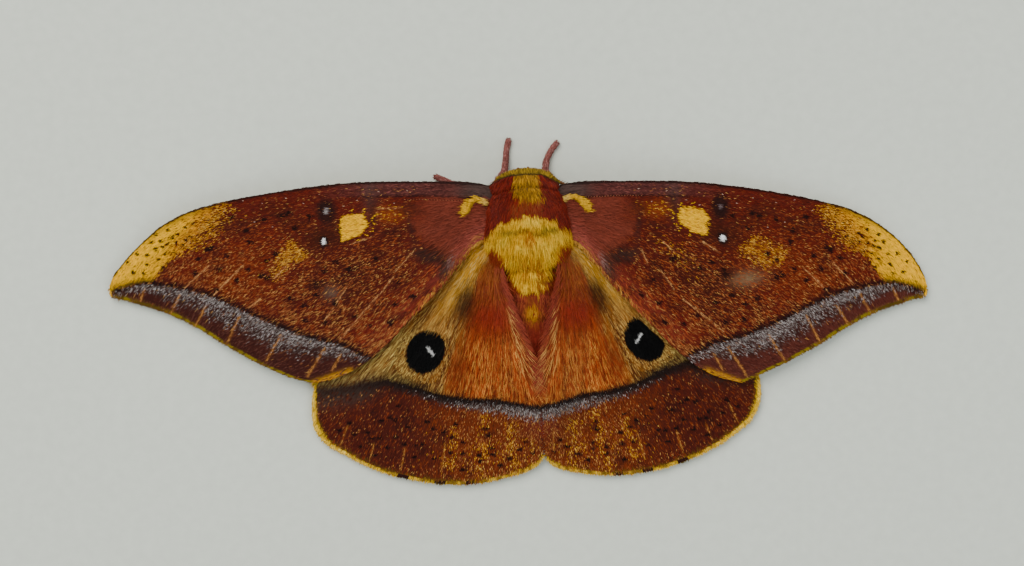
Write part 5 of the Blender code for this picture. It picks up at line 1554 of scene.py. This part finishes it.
def makeBodySkin():
    shape = bodyShape
    depth = -shape["coatDepth"]
    grids = [
        shellGrid(shape["thorax"], 60, 90, depth, shape["lean"], shape["leanMiddle"]),
        shellGrid(
            shape["abdomen"], 130, 90, depth * 0.6, segments=shape["segments"], step=shape["segmentStep"],
        ),
        ovalGrid(*shape["head"], 40, 60, -0.12),
        ovalGrid(*shape["neck"], 30, 48),
    ]
    for path, radii in (shape["collar"], shape["collarRear"]):
        bothSides = [*path, *[(-x, y, z) for x, y, z in path[-2::-1]]]
        grids.append(limbGrid(bothSides, [*radii, *radii[-2::-1]], 60, 30, -0.15))
    for sign in sides.values():
        grids.append(limbGrid(mirrored(shape["palps"][0], sign), shape["palps"][1], 20, 18))
    points, triangles = fuseSkin(grids)
    own = fromGround(points)
    dice = patchNoise(own[:, 0] / 0.2, own[:, 1] / 0.6, 61)
    # the skin is painted darker than the hair above it: painted shade in the gaps between the tufts
    skin = makePiece("bodySkin", points, triangles, materials["bodySkin"], paintBody(own, dice) * 0.7)
    dress(skin, "thorax_fur", "thorax", "abdomen", "collar", "head")
    print("body skin:", len(triangles), "triangles")
    return points[triangles]


def coverBody(corners, rng):
    # roots on random places of the skin, fewer where the wings hide it, none on the floor
    # or beside the collar's ends
    cross = np.cross(corners[:, 1] - corners[:, 0], corners[:, 2] - corners[:, 0])
    area = np.linalg.norm(cross, axis=1)
    x, y, z = fromGround(corners.mean(axis=1)).T
    hidden = (z > 1.0) & (y < 5.0) & (y > -24) & (z < 7)
    area = area * np.where(hidden, 0.4, 1.0) * np.where(z < 0.15, 0, 1)
    area *= 1 + 0.7 * smoothStep(8.5, 10, z) * smoothStep(-8, -6, y)
    area *= np.where((np.abs(x) > 4.6) & (y > 4.0) & (z > 6.5), 0.0, 1.0)
    count = bodyCoat["tufts"]
    pick = rng.choice(len(area), size=count, p=area / area.sum())
    a, b = rng.random((2, count, 1))
    a, b = np.where(a + b > 1, 1 - a, a), np.where(a + b > 1, 1 - b, b)
    first, second, third = (corners[pick, i] for i in range(3))
    roots = first + a * (second - first) + b * (third - first)
    ownRoots = fromGround(roots)
    outward = unit(cross[pick])
    ownLie, collar, face = combBody(ownRoots)
    lie = turnedOnGround(ownLie)
    x, y, z = ownRoots.T
    wide = np.abs(x)

    # longest on the thorax's rear and sides, short on the collar, the face and the flanks
    length = rng.uniform(*bodyCoat["reach"], count)
    rear = smoothStep(-1.5, -4.5, y) * smoothStep(8.0, 10.0, z) * smoothStep(-7.5, -6.5, y)
    shoulder = smoothStep(4.0, 5.5, wide) * smoothStep(3, 0, y) * smoothStep(-7.5, -6, y)
    length *= 1 + 0.9 * rear + 1.0 * shoulder - 0.5 * face - 0.35 * smoothStep(5, 3, z)
    onCollar = rng.uniform(*bodyCoat["collarReach"], count) * (1 - 0.35 * smoothStep(3, 5, wide))
    length = np.where(collar > 0.5, onCollar, length)
    length *= np.where((y < -7) & (z > 6) & (wide > 2.2), 0.55, 1.0)
    length *= np.where(y < -29, 0.8, 1.0) * np.where((y > 3.0) & (wide > 4.0), 0.5, 1.0)
    lift = length * (0.1 + 0.12 * rng.random(count)) * (1 - 0.4 * face) * np.where(y < -7, 0.45, 1)
    colour = paintBody(ownRoots + ownLie * (0.55 * length)[:, None], rng.random(count))
    colour *= rng.uniform(0.84, 1.16, (count, 1))
    turn = np.arctan2(x, z - 5.5) / (2 * np.pi) + 0.5
    patches = np.stack([0.02 + 0.96 * turn, (y + 34) / 46], axis=-1)

    # none on the eyes
    eyeCentre, eyeRadius = bodyShape["eye"]
    fromEyes = [np.linalg.norm(ownRoots - mirrored(eyeCentre, sign), axis=1) for sign in sides.values()]
    keep = np.flatnonzero(np.minimum(*fromEyes) > eyeRadius + bodyCoat["eyeGap"])
    onHead, behind = (collar[keep] >= 0.5) | (face[keep] >= 0.5), y[keep] <= bodyCoat["waist"]
    for name, slotName, chosen in (
        ("thoraxHair", "thorax_fur", keep[~behind & ~onHead]),
        ("abdomenHair", "abdomen_fur", keep[behind]),
        ("headHair", "collar_fur", keep[onHead]),
    ):
        chosen = chosen[:bodyCoat["perPiece"]]
        makeTufts(
            name, roots[chosen], lie[chosen] + 0.13 * rng.normal(size=(len(chosen), 3)),
            outward[chosen], length[chosen], bodyCoat["width"] * rng.uniform(0.8, 1.25, len(chosen)),
            lift[chosen], colour[chosen], patches[chosen], materials["hairTufts"], rings=2,
        )
        print(name, len(chosen), "tufts")


coverBody(makeBodySkin(), np.random.default_rng(7))


# Eyes, antennae and legs

def makeEye(side):
    centre, radius = bodyShape["eye"]
    grid = ovalGrid(mirrored(centre, sides[side]), (radius,) * 3, 30, 48)
    eye = makePiece("compoundEye_" + side, *closedTube(onGround(grid)), materials["eye"])
    dress(eye, "eye", "eye_" + side)


antennaShape = {
    "path": [
        (0.9, 7.0, 6.3), (2.2, 7.6, 6.9), (4.2, 6.4, 6.3), (7.0, 4.7, 4.7), (10.0, 3.1, 3.6),
        (13.0, 0.8, 2.8), (15.4, -2.0, 2.2),
    ],
    "radii": [0.36, 0.24, 0.2, 0.18, 0.16, 0.14, 0.09],
    # pairs of side branches: where they stand on the shaft, their reach and their radii
    "pairs": 34, "span": (0.24, 0.97), "reach": 1.3, "branchRadii": [0.09, 0.081, 0.072, 0.0585, 0.027],
}


def makeAntenna(side):
    # a ringed shaft with two comb-like rows of fine four-sided branches, longest in the middle
    sign, shape = sides[side], antennaShape
    path = mirrored(shape["path"], sign)
    shaft, faces = closedTube(onGround(limbGrid(path, shape["radii"], 90, 12)))
    share = np.repeat(np.linspace(*shape["span"], shape["pairs"]), 2)
    way = np.tile([-1.0, 1.0], shape["pairs"])[:, None]
    fine = smoothCurve(path, np.linspace(0, 1, 200))
    at = np.round(share * 199).astype(int)
    along, up = unit(np.gradient(fine, axis=0))[at], np.array([0, 0, 1.0])
    across = way * unit(np.cross(along, up))
    reach = shape["reach"] * (1 - 0.75 * np.abs(2 * (share - 0.45)) ** 2)
    reach = (reach * (0.25 + 0.75 * smoothStep(0.22, 0.5, share)))[:, None]

    # each branch leans forward and droops along its length
    count, stations = len(at), len(shape["branchRadii"])
    spine = np.stack([
        fine[at] + reach * (across * step + along * (0.25 * step + 0.3 * step**2) - 0.3 * up * step**2)
        for step in np.linspace(0, 1, stations)
    ], axis=1)
    radius = np.array(shape["branchRadii"])[None, :, None, None]
    turn = (2 * np.pi * np.arange(4) / 4)[None, None, :, None]
    ring = np.cos(turn) * along[:, None, None] + np.sin(turn) * up
    branch = onGround((spine[:, :, None] + radius * ring).reshape(-1, 3))
    index = np.arange(count * stations * 4).reshape(count, stations, 4)
    after = np.roll(index, -1, axis=2)
    walls = np.stack([index[:, :-1], after[:, :-1], after[:, 1:], index[:, 1:]], axis=-1)
    caps = np.stack([index[:, 0, ::-1], index[:, -1]], axis=1)
    quads = np.concatenate([walls.reshape(count, -1, 4), caps], axis=1)
    # the branches of one row are mirror images of the other's, so their faces run the other way
    quads = np.where(way[..., None] * sign > 0, quads, quads[..., ::-1]).reshape(-1, 4)
    points = np.concatenate([shaft, branch])
    faces = [*faces, quads + len(shaft)]
    antenna = makePiece("featheredAntenna_" + side, points, faces, materials["antenna"])
    dress(antenna, "antenna", "antenna_" + side)


for side in sides:
    makeEye(side)
    makeAntenna(side)

hindLeg = [
    (-2.0, -2.4, 3.2), (-4.4, -4.0, 2.4), (-6.6, -5.4, 3.0), (-8.2, -8.5, 1.9), (-9.4, -12.0, 0.9),
    (-10.2, -14.8, 0.42), (-10.8, -17.0, 0.4),
]
legShape = {
    "radii": [0.82, 0.72, 0.66, 0.56, 0.5, 0.46, 0.5],
    # joints as (share of the leg, width, height)
    "joints": [
        (0.18, 0.03, 0.12), (0.42, 0.025, 0.1), (0.68, 0.02, 0.06), (0.77, 0.012, 0.03), (0.84, 0.012, 0.03),
        (0.91, 0.012, 0.03),
    ],
    "rings": 90, "around": 20, "tufts": 1250, "hair": 0.5, "hairWidth": 0.13,
    "coatDepth": 0.06,
    "paths": {
        "front_left": [
            (-1.7, 3.0, 3.6), (-3.1, 4.6, 2.0), (-3.7, 6.3, 1.9), (-2.8, 8.2, 1.1), (-2.45, 9.9, 0.65),
            (-2.2, 11.5, 0.46), (-1.75, 12.9, 0.42),
        ],
        "front_right": [
            (1.7, 3.0, 3.6), (3.1, 4.4, 2.0), (3.9, 6.0, 1.9), (3.3, 7.9, 1.1), (3.6, 9.4, 0.65),
            (4.3, 10.7, 0.46), (5.35, 11.95, 0.42),
        ],
        "middle_left": [
            (-2.2, 0.4, 3.2), (-4.6, 2.0, 2.5), (-6.8, 3.9, 3.2), (-8.8, 5.7, 1.8), (-10.2, 6.7, 0.8),
            (-11.6, 7.5, 0.42), (-13.1, 8.2, 0.4),
        ],
        "middle_right": [
            (2.2, 0.4, 3.2), (4.6, 1.4, 2.5), (6.8, 2.6, 3.2), (8.8, 3.4, 1.8), (10.2, 3.9, 0.8),
            (11.6, 4.3, 0.42), (12.9, 4.6, 0.4),
        ],
        "hind_left": hindLeg,
        "hind_right": mirrored(hindLeg),
    },
}


def paintLeg(share, dice):
    return layered("#90544c", [
        ("#683430", (dice < 0.3) * 0.6),
        ("#b88880", (dice > 0.75) * 0.5),
        ("#a8685a", smoothStep(0.35, 0.1, share) * 0.6),
    ])


def makeLegs(rng):
    shape, grown = legShape, []
    rings, around = shape["rings"], shape["around"]
    alongLeg, roundLeg = np.meshgrid(np.linspace(0, 1, rings), np.linspace(0, 1, around), indexing="ij")
    for number, (name, path) in enumerate(shape["paths"].items()):
        grid = onGround(limbGrid(path, shape["radii"], rings, around, -shape["coatDepth"], shape["joints"]))
        points, faces = closedTube(grid)
        share = np.concatenate([alongLeg.ravel(), [0, 1]])
        colour = paintLeg(share, patchNoise(share * 60, points[:, 0] * 3, 71))
        leg = makePiece("legSkin_" + name, points, faces, materials["legSkin"], colour)
        dress(leg, "leg_scales", "leg_" + name)
        centre = grid.mean(axis=1, keepdims=True)
        lie = np.broadcast_to(unit(np.gradient(centre, axis=0)), grid.shape)
        offFloor = (grid[..., 2] > 0.06).astype(float)
        roots, (shareAt, turnAt, outAt, lieAt) = scatterOnGrid(
            grid, [alongLeg, roundLeg, unit(grid - centre), lie], shape["tufts"], rng, offFloor,
        )
        share, turn, count = shareAt[:, 0], turnAt[:, 0], len(roots)
        grown.append((
            roots, lieAt, unit(outAt),
            rng.uniform(0.6, 1.1, count) * shape["hair"] * (0.8 + smoothStep(0.7, 0.3, share)),
            paintLeg(share, rng.random(count)) * rng.uniform(0.75, 1.25, (count, 1)),
            np.stack([(number + 0.05 + 0.9 * turn) / len(shape["paths"]), 0.02 + 0.96 * share], axis=-1),
        ))
    roots, lie, outward, length, colours, patches = (np.concatenate(part) for part in zip(*grown))
    makeTufts(
        "legHair", roots, lie + 0.15 * rng.normal(size=lie.shape), outward, length,
        shape["hairWidth"], length * 0.18 * np.where(outward[:, 2] < 0, 0.5, 1.0), colours, patches,
        materials["hairTufts"], rings=2,
    )


makeLegs(np.random.default_rng(9))
print("eyes, antennae and legs done")


# Floor, light and camera. Places and sizes of the lamps are metres.

studio = {
    "floorSize": 3000.0, "world": 0.55, "worldColour": (0.95, 0.98, 1.0, 1),
    "lamps": {
        "key": {"energy": 5.0, "size": 0.55, "color": (1.0, 0.97, 0.93), "place": (-0.25, 0.35, 0.6)},
        "fill": {"energy": 1.6, "size": 0.55, "color": (0.9, 0.95, 1.0), "place": (0.4, -0.3, 0.5)},
    },
    # the camera looks straight down: its place, and the width that it sees at a height
    "cameraPlace": (-1.03, 4.04, 320.0), "frameWidth": 150.5, "frameHeight": 3.0, "sensor": 36,
}


def makeStudio():
    half = studio["floorSize"] / 2
    corners = np.array([(-half, -half, 0), (half, -half, 0), (half, half, 0), (-half, half, 0)])
    mesh = bpy.data.meshes.new("floor")
    mesh.from_pydata((corners * mm).tolist(), [], [(0, 1, 2, 3)])
    mesh.materials.append(materials["floor"])
    floor = bpy.data.objects.new("floor", mesh)
    bpy.context.scene.collection.objects.link(floor)

    world = bpy.data.worlds.new("softRoom")
    world.use_nodes = True
    background = world.node_tree.nodes["Background"]
    background.inputs["Color"].default_value = studio["worldColour"]
    background.inputs["Strength"].default_value = studio["world"]
    bpy.context.scene.world = world
    for name, settings in studio["lamps"].items():
        lamp = bpy.data.lights.new(name, "AREA")
        lamp.energy, lamp.size, lamp.color = (settings[key] for key in ("energy", "size", "color"))
        light = bpy.data.objects.new(name, lamp)
        light.location = settings["place"]
        light.rotation_euler = (-light.location).to_track_quat("-Z", "Y").to_euler()
        bpy.context.scene.collection.objects.link(light)

    camera = bpy.data.cameras.new("camera")
    camera.sensor_width = studio["sensor"]
    drop = studio["cameraPlace"][2] - studio["frameHeight"]
    camera.lens = studio["sensor"] * drop / studio["frameWidth"]
    camera.clip_start = 0.005
    view = bpy.data.objects.new("camera", camera)
    view.location = np.array(studio["cameraPlace"]) * mm
    bpy.context.scene.collection.objects.link(view)
    bpy.context.scene.camera = view


makeStudio()
print("studio done")
